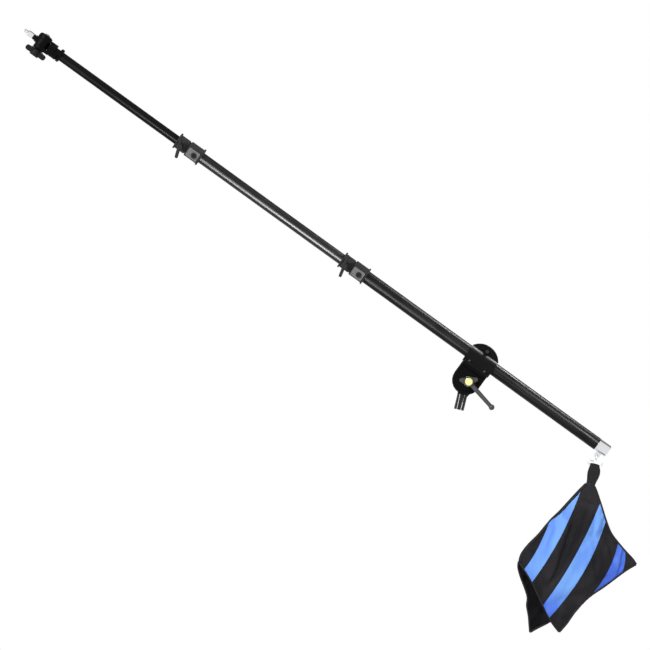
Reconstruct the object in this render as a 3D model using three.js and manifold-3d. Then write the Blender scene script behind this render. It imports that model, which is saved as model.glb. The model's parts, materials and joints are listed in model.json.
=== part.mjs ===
// Overhead boom arm for a studio light: a stand socket, a tilting clamp head, a three-section
// telescoping boom with wing-knob collars, a tilting light stud at the tip, and a striped saddle bag
// that hangs as the counterweight on a wire hook under the other end.
// Millimetres, +Z up. The origin is the centre of the socket's mouth, where a stand's spigot enters.
// +X runs towards the counterweight, and -Y is the side with the tilt lever.
import * as THREE from "three";
import { mergeVertices } from "three/addons/utils/BufferGeometryUtils.js";
import Module from "manifold-3d";

const wasm = await Module();
wasm.setup();

// Clearances and overruns
const GAP = 0.3; // between pieces that touch
const OVERRUN = 1; // how far a cutter runs past what it cuts
const SEAM = 0.5; // how far joined shapes of one casting reach into each other
const MERGE = 1e-4; // vertices closer than this are one

// Pose of the boom, in degrees
const BOOM_TILT = 22;
const COLLAR_ROLL = 17; // how far the collar knobs face down from the level
const LEVER_TURN = 12.4; // the lever below the line of the boom

// Stand socket
const SPIGOT_DIAMETER = 16;
const SPIGOT_PLAY = 0.4;
const SOCKET_WALL = 5.6;
const SOCKET_ROOF = 4; // over the end of the bore
const SOCKET_CHAMFER = 1;
const SHOULDER_RISE = 5;
const SHOULDER_TOP_RADIUS = 9;
const SHOULDER_CLEARANCE = 2; // from the shoulder to the boss of the head that turns past it
const PIVOT_HEIGHT = 80;
const PIVOT_OFFSET = 6; // the pivot from the socket's axis, towards the counterweight
const CHEEK_RADIUS = 32;
const CHEEK_THICKNESS = 12;
const CHEEK_FRONT = 4.5; // the cheek's front face ahead of the socket's axis
const CHEEK_ROUND = 2;
const NECK_HALF_WIDTH = 21; // where the neck meets the cheek
const NECK_RISE = 22; // from the socket's shoulder to where the neck meets the cheek
const NECK_INSET = 0.8; // the neck is thinner than the cheek by this on each side
const CHEEK_GROOVE_RADIUS = 23;
const CHEEK_GROOVE_WIDTH = 3;
const CHEEK_GROOVE_DEPTH = 1.5;

// Spigot lock at the back of the socket
const LOCK_SCREW_DIAMETER = 8;
const LOCK_STANDOFF = 2; // the knob off the boss
const LOCK_HEIGHT = 20;
const LOCK_BOSS_RADIUS = 8;
const LOCK_BOSS_LENGTH = 7;
const LOCK_WING_SPAN = 36;
const LOCK_WING_HEIGHT = 16;
const LOCK_WING_THICKNESS = 7;
const LOCK_HUB_RADIUS = 7.5;
const LOCK_HUB_LENGTH = 10;
const LOCK_WING_TURN = 90; // about the knob's own axis, from the level

// Tilt pivot
const FRICTION_THICKNESS = 1.5;
const FRICTION_RADIUS = 30;
const PIVOT_BOLT_DIAMETER = 10;
const PIVOT_NUT_ACROSS = 17;
const PIVOT_NUT_THICKNESS = 8;
const PIVOT_BOLT_TAIL = 2; // past the nut

// Tilt head body
const BODY_WIDTH = 78;
const BODY_DEPTH = 44;
const BODY_BEVEL = 4;
const BODY_RIM = 7; // round the sunk front panel
const BODY_PANEL_DEPTH = 2;
const CLAMP_SHIFT = 6; // the clamp's centre lies this far to the tip's side of the pivot
const TUBE_RISE = 67; // the boom's axis above the pivot
const REAR_BOSS_RADIUS = 31;
const REAR_BOSS_LENGTH = 9.5;
const FRONT_BOSS_RADIUS = 25;
const FRONT_BOSS_LENGTH = 2;
const FLANGE_DEPTH = 62;
const FLANGE_THICKNESS = 8;
const FLANGE_ROUND = 4;
const FLANGE_DROP = 29; // the joint between body and cap, below the boom's axis
const CRADLE_TOP_DROP = 9; // the cradle's lips, below the boom's axis

// Clamp cap
const CAP_LENGTH = 83;
const CAP_WALL = 4.5;
const CAP_FLANGE_THICKNESS = 5.5;
const DOME_RADIUS = 50;
const DOME_HEIGHT = 43.5; // above the boom's axis
const DOME_BEVEL = 1.5;
const DOME_THICKNESS = 18;
const DOME_RIM = 4.5;
const DOME_GROOVE = 5;
const DOME_RIDGE = 4;
const DOME_GROOVE_DEPTH = 4;
const DOME_RIB_COUNT = 5;
const DOME_RIB_PITCH = 14;
const DOME_RIB_THICKNESS = 2.4;
const WEB_SCREW_DIAMETER = 6; // through the dome's foot
const WEB_SCREW_HEAD_DIAMETER = 9;
const WEB_SCREW_HEAD_LENGTH = 5;
const WEB_SCREW_BOSS_RADIUS = 7;
const WEB_SCREW_BOSS_LENGTH = 14; // ahead of the web's middle
const WEB_SCREW_RISE = 27.5; // above the boom's axis
const CAP_SCREW_DIAMETER = 5;
const CAP_SCREW_LENGTH = 12;
const CAP_SCREW_HEAD_DIAMETER = 8;
const CAP_SCREW_HEAD_HEIGHT = 5.5;
const CAP_SCREW_SOCKET_ACROSS = 3.5;
const CAP_SCREW_SOCKET_DEPTH = 2.5;
const CAP_SCREW_INSET = 14; // from the ends of the flange
const BOOM_BOSS_RADIUS = 11;
const BOOM_BOSS_LENGTH = 9;
const PAD_RADIUS = 6;
const PAD_THICKNESS = 2.6;

// Boom lock at the back of the clamp
const STAR_RADIUS = 19;
const STAR_LOBE_DEPTH = 2.5;
const STAR_LOBE_STEPS = 6; // corners of the outline per lobe
const STAR_STANDOFF = 2; // the knob off the boss
const STAR_SKIN = 3; // left over the end of the screw
const STAR_LOBES = 5;
const STAR_THICKNESS = 14;
const STAR_NECK_RADIUS = 9;
const STAR_NECK_LENGTH = 5;
const STAR_BEVEL = 2;

// Tilt lever at the front
const LEVER_WASHER_RADIUS = 14;
const LEVER_WASHER_THICKNESS = 2;
const LEVER_HUB_RADIUS = 13.5;
const LEVER_HUB_LENGTH = 21;
const LEVER_COLLAR_LENGTH = 6;
const LEVER_ROUND = 1.5;
const LEVER_BOLT_REACH = 15; // the bolt into the hub
const LEVER_LOBE_TURNS = [64, 216]; // degrees up from the rod, for the two ears of the hub
const LEVER_LOBE_OFFSET = 20;
const LEVER_LOBE_RADIUS = 5.5;
const LEVER_REACH = 92; // the ball's centre from the pivot
const LEVER_ROD_ROOT_RADIUS = 6.4;
const LEVER_ROD_END_RADIUS = 5.4;
const LEVER_BALL_RADIUS = 8;
const LEVER_ROD_FRONT = 12; // the rod's axis ahead of the hub's foot
const LEVER_CAP_RADIUS = 10.4;
const LEVER_CAP_LENGTH = 4;
const LEVER_CAP_CHAMFER = 1.2;
const LEVER_CAP_DIMPLE_RADIUS = 2.2;
const LEVER_CAP_DIMPLE_DEPTH = 1;

// Tubes, measured along the boom from the clamp's centre
const OUTER_DIAMETER = 35;
const OUTER_WALL = 1.5;
const MIDDLE_DIAMETER = 30;
const MIDDLE_WALL = 1.4;
const INNER_DIAMETER = 25;
const INNER_WALL = 1.4;
const OUTER_REACH = 386; // clamp centre to the outer tube's weight end
const COLLAR_B_DISTANCE = 422; // clamp centre to collar b's centre
const COLLAR_A_DISTANCE = 968.5; // clamp centre to collar a's centre
const TIP_DISTANCE = 1456; // clamp centre to the tip's pivot
const MIDDLE_INSERTED = 168; // middle tube inside the boom past collar b
const INNER_INSERTED = 185; // inner tube past collar a
const GUIDE_LENGTH = 24;
const GUIDE_PLUG_LENGTH = 18;
const GUIDE_WALL = 3;

// Telescope collars
const COLLAR_LENGTH = 80;
const COLLAR_FLANGE_THICKNESS = 4.5;
const COLLAR_BIG_FLANGE_THICKNESS = 4.5;
const COLLAR_EDGE = 1; // chamfers
const COLLAR_CLAMP_RADIUS = 19.8;
const COLLAR_SMALL_FLANGE_RADIUS = 23.5;
const COLLAR_BIG_FLANGE_RADIUS = 25;
const COLLAR_FIXED_RADIUS = 21.8;
const COLLAR_STEP = 4; // the fixed half starts this far to the tip's side of the centre
const COLLAR_SLOT = 3;
const COLLAR_SLOT_DEPTH = 2;
const COLLAR_WINDOW_LENGTH = 7.5; // the dark window beside the step, on the knob's side
const COLLAR_WINDOW_HALF_HEIGHT = 10;
const COLLAR_WINDOW_FLOOR = 16.6; // from the tube's axis
const COLLAR_PAD_ROUND = 2.5;
const COLLAR_SHOE_THICKNESS = 2;
const COLLAR_BOSS_RADIUS = 9.5;
const COLLAR_BOSS_REACH = 26; // the boss's face from the tube's axis
const COLLAR_KNOB_FROM_FLANGE = 15; // the knob's axis from the small flange's outer face
const COLLAR_PAD_LENGTH = 37;
const COLLAR_PAD_HALF_HEIGHT = 14;
const COLLAR_PAD_REACH = 24; // the flat's face from the tube's axis
const PLATE_MARGIN = 1.2;
const PLATE_THICKNESS = 1.6;
const PLATE_SINK = 0.8;
const COLLAR_BOLT_HEAD_RADIUS = 7.8;
const COLLAR_BOLT_HEAD_HEIGHT = 4;
const COLLAR_BOLT_DIAMETER = 6;
const COLLAR_BOLT_SHIFT = 3.7; // from the plate's centre towards the big flange
const COLLAR_BOLT_SOCKET_ACROSS = 6;
const COLLAR_BOLT_SOCKET_DEPTH = 2.4;
const COLLAR_SCREW_DIAMETER = 8;

// Wing knobs of the collars
const WING_SPAN = 66;
const WING_HEIGHT = 17;
const WING_THICKNESS = 8;
const WING_TURN_A = 70; // about the knob's own axis, from the boom's line
const WING_TURN_B = 76;
const WING_HUB_RADIUS = 8.5;
const WING_HUB_LENGTH = 12;
const WING_STANDOFF = 2; // the hub's foot off the boss
// Outline of every wing knob, as shares of its own sizes
const KNOB_WAIST_SHARE = 0.7;
const KNOB_BELLY_SHARE = 0.8;
const KNOB_TIP_SHARE = 0.55;
const KNOB_DIP_SHARE = 0.8;
const KNOB_SOFT_SHARE = 0.2;
const KNOB_BORE_SHARE = 0.75;

// Tip
const RING_CLEARANCE = 1; // from the fork's socket
const RING_RADIUS = 19;
const RING_WIDTH = 10;
const RING_ROUND = 2.5;
const FORK_RADIUS = 20;
const FORK_EAR = 14; // the upper ear's thickness
const FORK_EAR_ROUND = 7; // the upper ear's rounded rim
const FORK_LOWER_EAR = 11.5;
const FORK_LOWER_RADIUS = 16.5;
const FORK_SOCKET_RADIUS = 18.5;
const FORK_SOCKET_LENGTH = 31.5;
const FORK_NOTCH_LENGTH = 11; // the notch over the tube, beside the stop ring
const FORK_CLEAR = 0.8; // between the tongue's round and the fork's bridge
const FORK_BRIDGE = 8;
const FORK_TUBE_STOP = 4; // the tube's end from the socket's inner face
const FORK_HALF_WIDTH = 14;
const FORK_EDGE = 2;
const TONGUE_THICKNESS = 17;
const TIP_FRICTION_THICKNESS = 1;
const TIP_FRICTION_RADIUS = 16;
const TIP_BOLT_DIAMETER = 8;
const TIP_BOLT_HEAD_RADIUS = 8.5;
const TIP_BOLT_HEAD_HEIGHT = 3.5;
const TIP_DOME_SHARE = 0.7; // of the head's radius and height, at the edge of its dome
const TIP_WASHER_RADIUS = 12;
const TIP_WASHER_THICKNESS = 1.5;
const TIP_WING_SPAN = 62;
const TIP_WING_HEIGHT = 15;
const TIP_WING_THICKNESS = 13;
const TIP_WING_ROUND = 6;
const TIP_HUB_RADIUS = 12.5;
const TIP_HUB_LENGTH = 18.5;
const STUD_DIAMETER = 16;
const TONGUE_SEAT_RADIUS = 8.5;
const STUD_LENGTH = 28;
const STUD_WAIST_DIAMETER = 12;
const STUD_WAIST_LENGTH = 6;
const STUD_ROOT_LENGTH = 3;
const STUD_TAPER = 1.5;
const STUD_THREAD_DIAMETER = 9.5;
const STUD_THREAD_LENGTH = 11;
const STUD_TANG_DIAMETER = 10;
const STUD_TANG_LENGTH = 9;

// End cap and hook
const END_CAP_LENGTH = 35;
const END_CAP_UNDERSIZE = 0.5; // off the tube's radius
const END_CAP_SPIGOT = 25;
const END_CAP_CHAMFER = 2;
const END_CAP_BORE_RADIUS = 11;
const END_CAP_BORE_DEPTH = 20;
const LUG_THICKNESS = 4;
const LUG_HOLE_RADIUS = 2.6;
const LUG_WEB = 5;
const LUG_DISTANCE = 16.5; // from the outer tube's weight end
const LUG_DROP = 25; // the hole below the boom's axis
const HOOK_WIRE = 4;
const HOOK_EYE_RADIUS = 6.5;
const HOOK_SEAT_DROP = 28; // the seat's wire below the top of the eye
const HOOK_HALF_WIDTH = 19;
const HOOK_BEND_RADIUS = 4.5;
const HOOK_TIP_RISE = 13;
const HOOK_SHOULDER_DROP = 3; // below the eye
const HOOK_STEPS = 22;

// Weight bag, measured from the hook's seat
const LOOP_WIDTH = 27;
const LOOP_THICKNESS = 2.4;
const LOOP_LENGTH = 66;
const LOOP_FOOT = 12; // where its two plies are sewn together
const POUCH_SPLIT = 2.9; // half the space between the pouches
const NECK_X = -15;
const NECK_Z = -48;
const BULGE_X = -136;
const BULGE_Z = -303;
const SADDLE_RADIUS = 8;
const SADDLE_LEG = 12;
const SADDLE_START_SHARE = 0.13;
const SADDLE_END_SHARE = 0.97;
const FRONT_SIDE_X = 171;
const FRONT_SIDE_Z = -228;
const FRONT_FOOT_X = 16;
const FRONT_FOOT_Z = -456;
const BACK_SIDE_X = 84;
const BACK_SIDE_Z = -262;
const BACK_FOOT_X = -60;
const BACK_FOOT_Z = -478;
const FRONT_FULLNESS = 26;
const BACK_FULLNESS = 32;
const POUCH_RIM = 2.6; // cloth thickness at the pouches' edges
const POUCH_BOW = 8; // the far edge's bulge
const POUCH_WAIST = 6; // how far the sides draw in
const POUCH_STEPS = 11;
const POUCH_EDGE_SHARE = 0.6; // how square the filling's section is
const POUCH_SETTLE_SHARE = 0.445; // how much more of the filling lies towards the fold's foot
const FRONT_SAG_SHARE = 1.5; // how far the filling has sunk
const BACK_SAG_SHARE = 1.7;
// Folds in a pouch: where each one starts and ends along the fold line and its width, as shares of
// the fold's length, and its depth, as a share of the pouch's fullness
const FRONT_CREASE_SHARES = [
  { from: 0.12, to: 0.62, depth: 0.35, width: 0.07 },
  { from: 0.1, to: 0.3, depth: 0.23, width: 0.05 },
];
const BACK_CREASE_SHARES = [
  { from: 0.15, to: 0.5, depth: 0.25, width: 0.07 },
];

// Facets
const FACETS = 24;
const MEDIUM_FACETS = 18;
const SMALL_FACETS = 12;
const WIRE_FACETS = 8;
const ARC_STEP = 15; // degrees per facet of a large round
const CORNER_STEP = 30; // degrees per facet of a small round
const CURVE_STEPS = 3;

// Shapes of single pieces

const CIRCLE = 360; // degrees
const QUARTER = CIRCLE / 4;
const HALF = CIRCLE / 2;
const RADIANS = Math.PI / HALF;
const CORNERS = 3;
const turnTo = {
  x: new THREE.Matrix4().makeRotationZ(-Math.PI / 2),
  y: new THREE.Matrix4(),
  z: new THREE.Matrix4().makeRotationX(Math.PI / 2),
};
const unitX = new THREE.Vector3(1, 0, 0);
const unitY = new THREE.Vector3(0, 1, 0);
const unitZ = new THREE.Vector3(0, 0, 1);
const planes = {
  xy: { basis: [unitX, unitY, unitZ], along: unitZ, backwards: false },
  yz: { basis: [unitY, unitZ, unitX], along: unitX, backwards: false },
  xz: { basis: [unitX, unitZ, unitY.clone().negate()], along: unitY, backwards: true },
};

// Welds a geometry into one closed solid, turned right side out.
function solid(geometry) {
  const bare = new THREE.BufferGeometry();
  bare.setAttribute("position", geometry.getAttribute("position"));
  if (geometry.index) bare.setIndex(geometry.index);
  const merged = mergeVertices(bare, MERGE);
  const index = merged.index.array;
  const points = merged.getAttribute("position").array;
  const corner = (i) => new THREE.Vector3().fromArray(points, i * CORNERS);
  const kept = [];
  let volume = 0;
  for (let i = 0; i < index.length; i += CORNERS) {
    const [a, b, c] = index.slice(i, i + CORNERS);
    if (a === b || b === c || c === a) continue;
    kept.push(a, b, c);
    volume += corner(a).dot(corner(b).cross(corner(c)));
  }
  if (volume < 0) kept.reverse();
  const mesh = { numProp: CORNERS, vertProperties: points, triVerts: new Uint32Array(kept) };
  return new wasm.Manifold(new wasm.Mesh(mesh));
}

const join = (...parts) => parts.flat().reduce((whole, part) => whole.add(part));
const cut = (whole, ...tools) => tools.flat().reduce((rest, tool) => rest.subtract(tool), whole);

// A rod or cone along an axis, through the point that `at` gives.
function rod(axis, radius, from, to, { at = [0, 0, 0], endRadius = radius, facets = FACETS } = {}) {
  const geometry = new THREE.CylinderGeometry(endRadius, radius, to - from, facets);
  geometry.translate(0, (from + to) / 2, 0).applyMatrix4(turnTo[axis]);
  return solid(geometry.translate(...at));
}

// A shape turned about an axis from points of radius and station.
function turned(axis, profile, { at = [0, 0, 0], facets = FACETS } = {}) {
  const points = profile.map(([radius, station]) => new THREE.Vector2(radius, station));
  const geometry = new THREE.LatheGeometry([...points, points[0]], facets);
  return solid(geometry.applyMatrix4(turnTo[axis]).translate(...at));
}

// A tube along an axis.
function pipe(axis, radius, bore, from, to, options) {
  return turned(axis, [[bore, from], [radius, from], [radius, to], [bore, to]], options);
}

function block(x0, x1, y0, y1, z0, z1) {
  const geometry = new THREE.BoxGeometry(x1 - x0, y1 - y0, z1 - z0);
  return solid(geometry.translate((x0 + x1) / 2, (y0 + y1) / 2, (z0 + z1) / 2));
}

// A flat outline in one plane, pulled along the plane's normal, with an edge bevel if one is given.
function prism(plane, shape, from, to, bevel = 0) {
  const { basis, along, backwards } = planes[plane];
  const geometry = new THREE.ExtrudeGeometry(shape, {
    depth: to - from - 2 * bevel,
    bevelEnabled: bevel > 0,
    bevelSize: bevel,
    bevelOffset: -bevel,
    bevelThickness: bevel,
    bevelSegments: 1,
    curveSegments: CURVE_STEPS,
  });
  geometry.translate(0, 0, bevel).applyMatrix4(new THREE.Matrix4().makeBasis(...basis));
  const start = along.clone().multiplyScalar(backwards ? to : from);
  return solid(geometry.translate(start.x, start.y, start.z));
}

function outline(points) {
  return new THREE.Shape(points.map(([u, v]) => new THREE.Vector2(u, v)));
}

// Points of an arc about (u, v), in degrees.
function arc(u, v, radius, from, to, step = ARC_STEP) {
  const steps = Math.ceil(Math.abs(to - from) / step);
  return Array.from({ length: steps + 1 }, (_, i) => {
    const angle = (from + ((to - from) * i) / steps) * RADIANS;
    return [u + radius * Math.cos(angle), v + radius * Math.sin(angle)];
  });
}

function disc(radius, u = 0, v = 0, facets = SMALL_FACETS) {
  return outline(arc(u, v, radius, 0, CIRCLE, CIRCLE / facets).slice(1));
}

// A rectangle with round corners.
function softBox(u0, u1, v0, v1, radius) {
  return outline([
    ...arc(u1 - radius, v1 - radius, radius, 0, QUARTER, CORNER_STEP),
    ...arc(u0 + radius, v1 - radius, radius, QUARTER, HALF, CORNER_STEP),
    ...arc(u0 + radius, v0 + radius, radius, HALF, HALF + QUARTER, CORNER_STEP),
    ...arc(u1 - radius, v0 + radius, radius, -QUARTER, 0, CORNER_STEP),
  ]);
}

// A hexagon of a given width across its flats.
function hexagon(across, u = 0, v = 0) {
  const radius = across / Math.sqrt(3);
  const corners = [0, 1, 2, 3, 4, 5].map((i) => (i * Math.PI) / 3);
  return outline(corners.map((a) => [u + radius * Math.cos(a), v + radius * Math.sin(a)]));
}

// A round wire of one radius along a curve.
function wire(curve, radius, steps) {
  const geometry = new THREE.ExtrudeGeometry(disc(radius, 0, 0, WIRE_FACETS), {
    steps, extrudePath: curve, bevelEnabled: false,
  });
  return solid(geometry);
}

// Scene graph

const MATERIALS = {
  black_metal: [0x1d1e20, 0.5, 0.5],
  black_tube: [0x222326, 0.38, 0.6],
  collar_black: [0x1b1c1d, 0.6, 0.2],
  socket_black: [0x131415, 0.28, 0.6],
  lever_grey: [0x6a6d70, 0.5, 0.6],
  steel: [0xa9abad, 0.35, 0.9],
  dark_steel: [0x3a3b3d, 0.45, 0.8],
  chrome: [0xd6d8da, 0.12, 1],
  brass: [0xb9935a, 0.35, 0.9],
  knob_black: [0x17181a, 0.65, 0],
  plastic: [0x2c2d2f, 0.6, 0],
  fibre: [0x8b3f2c, 0.8, 0],
  webbing: [0x18191b, 0.95, 0],
  cloth: [0x26272b, 0.95, 0],
};
const materials = Object.fromEntries(
  Object.entries(MATERIALS).map(([name, [color, roughness, metalness]]) => {
    const material = new THREE.MeshStandardMaterial({ color, roughness, metalness });
    material.name = name;
    return [name, material];
  }),
);

function piece(parent, name, material, shape) {
  const { vertProperties, triVerts, numProp } = shape.getMesh();
  if (numProp !== CORNERS) throw new Error(`${name} has extra vertex properties`);
  const geometry = new THREE.BufferGeometry();
  geometry.setAttribute("position", new THREE.BufferAttribute(vertProperties, CORNERS));
  geometry.setIndex(new THREE.BufferAttribute(triVerts, 1));
  geometry.computeVertexNormals();
  const mesh = new THREE.Mesh(geometry, materials[material]);
  mesh.name = name;
  parent.add(mesh);
  return mesh;
}

function group(parent, name, x = 0, y = 0, z = 0) {
  const made = new THREE.Group();
  made.name = name;
  made.position.set(x, y, z);
  parent?.add(made);
  return made;
}

// Knobs that several places share. Each one stands on y = 0 and rises along +Y.

// A wing nut: a hub with two rising wings along X.
function wingKnob(span, height, thickness, hubRadius, hubLength, bore) {
  const half = span / 2;
  const waist = hubRadius * KNOB_WAIST_SHARE;
  const shape = new THREE.Shape();
  shape.moveTo(-waist, 0);
  shape.lineTo(waist, 0);
  shape.quadraticCurveTo(half * KNOB_BELLY_SHARE, 0, half, height * KNOB_TIP_SHARE);
  shape.quadraticCurveTo(half, height, half - height / 2, height);
  shape.quadraticCurveTo(waist, height, waist, hubLength * KNOB_DIP_SHARE);
  shape.lineTo(-waist, hubLength * KNOB_DIP_SHARE);
  shape.quadraticCurveTo(-waist, height, height / 2 - half, height);
  shape.quadraticCurveTo(-half, height, -half, height * KNOB_TIP_SHARE);
  shape.quadraticCurveTo(-half * KNOB_BELLY_SHARE, 0, -waist, 0);
  const wings = prism("xy", shape, -thickness / 2, thickness / 2, thickness * KNOB_SOFT_SHARE);
  const hub = rod("y", hubRadius, 0, hubLength);
  const hole = rod("y", bore, -OVERRUN, hubLength * KNOB_BORE_SHARE, { facets: SMALL_FACETS });
  return cut(join(wings, hub), hole);
}

// Stand socket, the root of the assembly

const socketBore = (SPIGOT_DIAMETER + SPIGOT_PLAY) / 2;
const socketRadius = socketBore + SOCKET_WALL;
const socketHeight = PIVOT_HEIGHT - REAR_BOSS_RADIUS - SHOULDER_CLEARANCE - SHOULDER_RISE;
const socketBoreDepth = socketHeight - SOCKET_ROOF;
const cheekFrontY = -CHEEK_FRONT;
const cheekBackY = CHEEK_THICKNESS - CHEEK_FRONT;
const pivotBore = PIVOT_BOLT_DIAMETER / 2 + GAP;
const frictionFrontY = cheekFrontY - GAP - FRICTION_THICKNESS;
const headBackY = frictionFrontY - GAP;
const boomY = headBackY - REAR_BOSS_LENGTH - BODY_DEPTH / 2;
const headFrontY = boomY - BODY_DEPTH / 2 - FRONT_BOSS_LENGTH;
const leverFootY = headFrontY - GAP - LEVER_WASHER_THICKNESS - GAP;
const lockScrewRadius = LOCK_SCREW_DIAMETER / 2;
const lockBossEndY = socketRadius + LOCK_BOSS_LENGTH;
const pivotPoint = [PIVOT_OFFSET, 0, PIVOT_HEIGHT];

function socketCasting() {
  const barrel = rod("z", socketRadius, 0, socketHeight);
  const shoulder = rod("z", socketRadius, socketHeight - SEAM, socketHeight + SHOULDER_RISE, {
    endRadius: SHOULDER_TOP_RADIUS,
  });
  const neck = prism(
    "xz",
    outline([
      [-socketRadius, socketBoreDepth],
      [socketRadius, socketBoreDepth],
      [PIVOT_OFFSET + NECK_HALF_WIDTH, socketHeight + NECK_RISE],
      [PIVOT_OFFSET - NECK_HALF_WIDTH, socketHeight + NECK_RISE],
    ]),
    cheekFrontY + NECK_INSET,
    cheekBackY - NECK_INSET,
  );
  const cheek = turned("y", [
    [0, cheekFrontY],
    [CHEEK_RADIUS, cheekFrontY],
    [CHEEK_RADIUS, cheekBackY - CHEEK_ROUND],
    [CHEEK_RADIUS - CHEEK_ROUND, cheekBackY],
    [0, cheekBackY],
  ], { at: pivotPoint });
  const lockPlace = { at: [0, 0, LOCK_HEIGHT], facets: SMALL_FACETS };
  const boss = rod("y", LOCK_BOSS_RADIUS, 0, lockBossEndY, lockPlace);
  const groove = pipe("y", CHEEK_GROOVE_RADIUS + CHEEK_GROOVE_WIDTH, CHEEK_GROOVE_RADIUS,
    cheekBackY - CHEEK_GROOVE_DEPTH, cheekBackY + OVERRUN, { at: pivotPoint });
  const bore = rod("z", socketBore, -OVERRUN, socketBoreDepth);
  const chamfer = rod("z", socketBore + SOCKET_CHAMFER + OVERRUN, -OVERRUN, SOCKET_CHAMFER, {
    endRadius: socketBore,
  });
  const pivotHole = rod("y", pivotBore, cheekFrontY - OVERRUN, cheekBackY + OVERRUN, {
    at: pivotPoint, facets: SMALL_FACETS,
  });
  const lockHole = rod("y", lockScrewRadius + GAP, 0, lockBossEndY + OVERRUN, lockPlace);
  return cut(join(barrel, shoulder, neck, cheek, boss), groove, bore, chamfer, pivotHole, lockHole);
}

const root = group(null, "overhead_boom_arm");
const stand = group(root, "stand_socket");
piece(stand, "socket_casting", "socket_black", socketCasting());
piece(stand, "friction_disc", "fibre",
  pipe("y", FRICTION_RADIUS, pivotBore, frictionFrontY, cheekFrontY - GAP, {
    at: pivotPoint, facets: MEDIUM_FACETS,
  }));

const pivotFrontY = leverFootY - LEVER_BOLT_REACH;
const nutFrontY = cheekBackY + GAP;
const pivotBackY = nutFrontY + PIVOT_NUT_THICKNESS + PIVOT_BOLT_TAIL;
piece(stand, "pivot_bolt", "steel",
  rod("y", PIVOT_BOLT_DIAMETER / 2, pivotFrontY, pivotBackY, { at: pivotPoint, facets: SMALL_FACETS }));
piece(stand, "pivot_nut", "steel", cut(
  prism("xz", hexagon(PIVOT_NUT_ACROSS, PIVOT_OFFSET, PIVOT_HEIGHT), nutFrontY,
    nutFrontY + PIVOT_NUT_THICKNESS),
  rod("y", pivotBore, cheekBackY, pivotBackY + OVERRUN, { at: pivotPoint, facets: SMALL_FACETS }),
));

// Spigot lock at the back of the socket
const spigotLock = group(stand, "spigot_lock", 0, 0, LOCK_HEIGHT);
const lockKnobFootY = lockBossEndY + LOCK_STANDOFF;
const lockScrewEndY = lockKnobFootY + LOCK_HUB_LENGTH * KNOB_BORE_SHARE - GAP;
piece(spigotLock, "spigot_lock_screw", "steel",
  rod("y", lockScrewRadius, socketBore + GAP, lockScrewEndY, { facets: SMALL_FACETS }));
const spigotKnob = piece(spigotLock, "spigot_lock_knob", "knob_black",
  wingKnob(LOCK_WING_SPAN, LOCK_WING_HEIGHT, LOCK_WING_THICKNESS, LOCK_HUB_RADIUS, LOCK_HUB_LENGTH,
    lockScrewRadius + GAP));
spigotKnob.position.y = lockKnobFootY;
spigotKnob.rotation.y = LOCK_WING_TURN * RADIANS;

// Tilt head: everything here is in the boom's own frame, with the pivot as its origin, +X along the
// boom towards the counterweight and +Z square to it.

const head = group(root, "tilt_head", ...pivotPoint);
head.rotation.y = BOOM_TILT * RADIANS;

const outerRadius = OUTER_DIAMETER / 2;
const clampX = -CLAMP_SHIFT;
const channelRadius = outerRadius + GAP;
const capReach = channelRadius + CAP_WALL;
const jointZ = TUBE_RISE - FLANGE_DROP;
const capFlangeTopZ = jointZ + GAP + CAP_FLANGE_THICKNESS;
const bodyHalf = BODY_WIDTH / 2;
const capHalf = CAP_LENGTH / 2;
const flangeHalf = FLANGE_DEPTH / 2;
const boomAxis = [0, boomY, TUBE_RISE];
const cutHalf = Math.max(bodyHalf, capHalf) + OVERRUN;
const screwY = (capReach + flangeHalf) / 2;
const capScrewPlaces = [-1, 1].flatMap((i) => [-1, 1].map((j) => [
  clampX + i * (bodyHalf - CAP_SCREW_INSET), boomY + j * screwY,
]));

function roundFoot(inset) {
  const half = bodyHalf - inset;
  return outline([
    ...arc(clampX, 0, half, HALF, CIRCLE),
    [clampX + half, jointZ - inset],
    [clampX - half, jointZ - inset],
  ]);
}

function headCasting() {
  const body = prism("xz", roundFoot(0), boomY - BODY_DEPTH / 2, boomY + BODY_DEPTH / 2, BODY_BEVEL);
  const flange = prism("xy",
    softBox(clampX - bodyHalf, clampX + bodyHalf, boomY - flangeHalf, boomY + flangeHalf, FLANGE_ROUND),
    jointZ - FLANGE_THICKNESS, jointZ);
  const cradle = block(clampX - bodyHalf, clampX + bodyHalf, boomY - outerRadius, boomY + outerRadius,
    jointZ - SEAM, TUBE_RISE - CRADLE_TOP_DROP);
  const backBoss = rod("y", REAR_BOSS_RADIUS, boomY + BODY_DEPTH / 2 - BODY_BEVEL, headBackY);
  const frontBoss = rod("y", FRONT_BOSS_RADIUS, headFrontY, boomY - BODY_DEPTH / 2 + BODY_BEVEL);
  const channel = rod("x", channelRadius, clampX - cutHalf, clampX + cutHalf, { at: boomAxis });
  const pivotHole = rod("y", pivotBore, headFrontY - OVERRUN, headBackY + OVERRUN, {
    facets: SMALL_FACETS,
  });
  const screwHoles = capScrewPlaces.map(([x, y]) => rod("z", CAP_SCREW_DIAMETER / 2 + GAP,
    capFlangeTopZ - CAP_SCREW_LENGTH - GAP, jointZ + OVERRUN, { at: [x, y, 0], facets: SMALL_FACETS }));
  const panel = prism("xz", roundFoot(BODY_RIM), boomY - BODY_DEPTH / 2 - OVERRUN,
    boomY - BODY_DEPTH / 2 + BODY_PANEL_DEPTH);
  const sunk = cut(body, panel);
  return cut(join(sunk, flange, cradle, backBoss, frontBoss), channel, pivotHole, screwHoles);
}
piece(head, "head_casting", "black_metal", headCasting());

function domeOutline(inset) {
  const radius = DOME_RADIUS - inset;
  const centreZ = TUBE_RISE + DOME_HEIGHT - DOME_RADIUS;
  const half = capHalf - inset;
  const angle = Math.acos(half / radius) / RADIANS;
  return outline([
    ...arc(clampX, centreZ, radius, angle, HALF - angle),
    [clampX - half, TUBE_RISE],
    [clampX + half, TUBE_RISE],
  ]);
}

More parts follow.
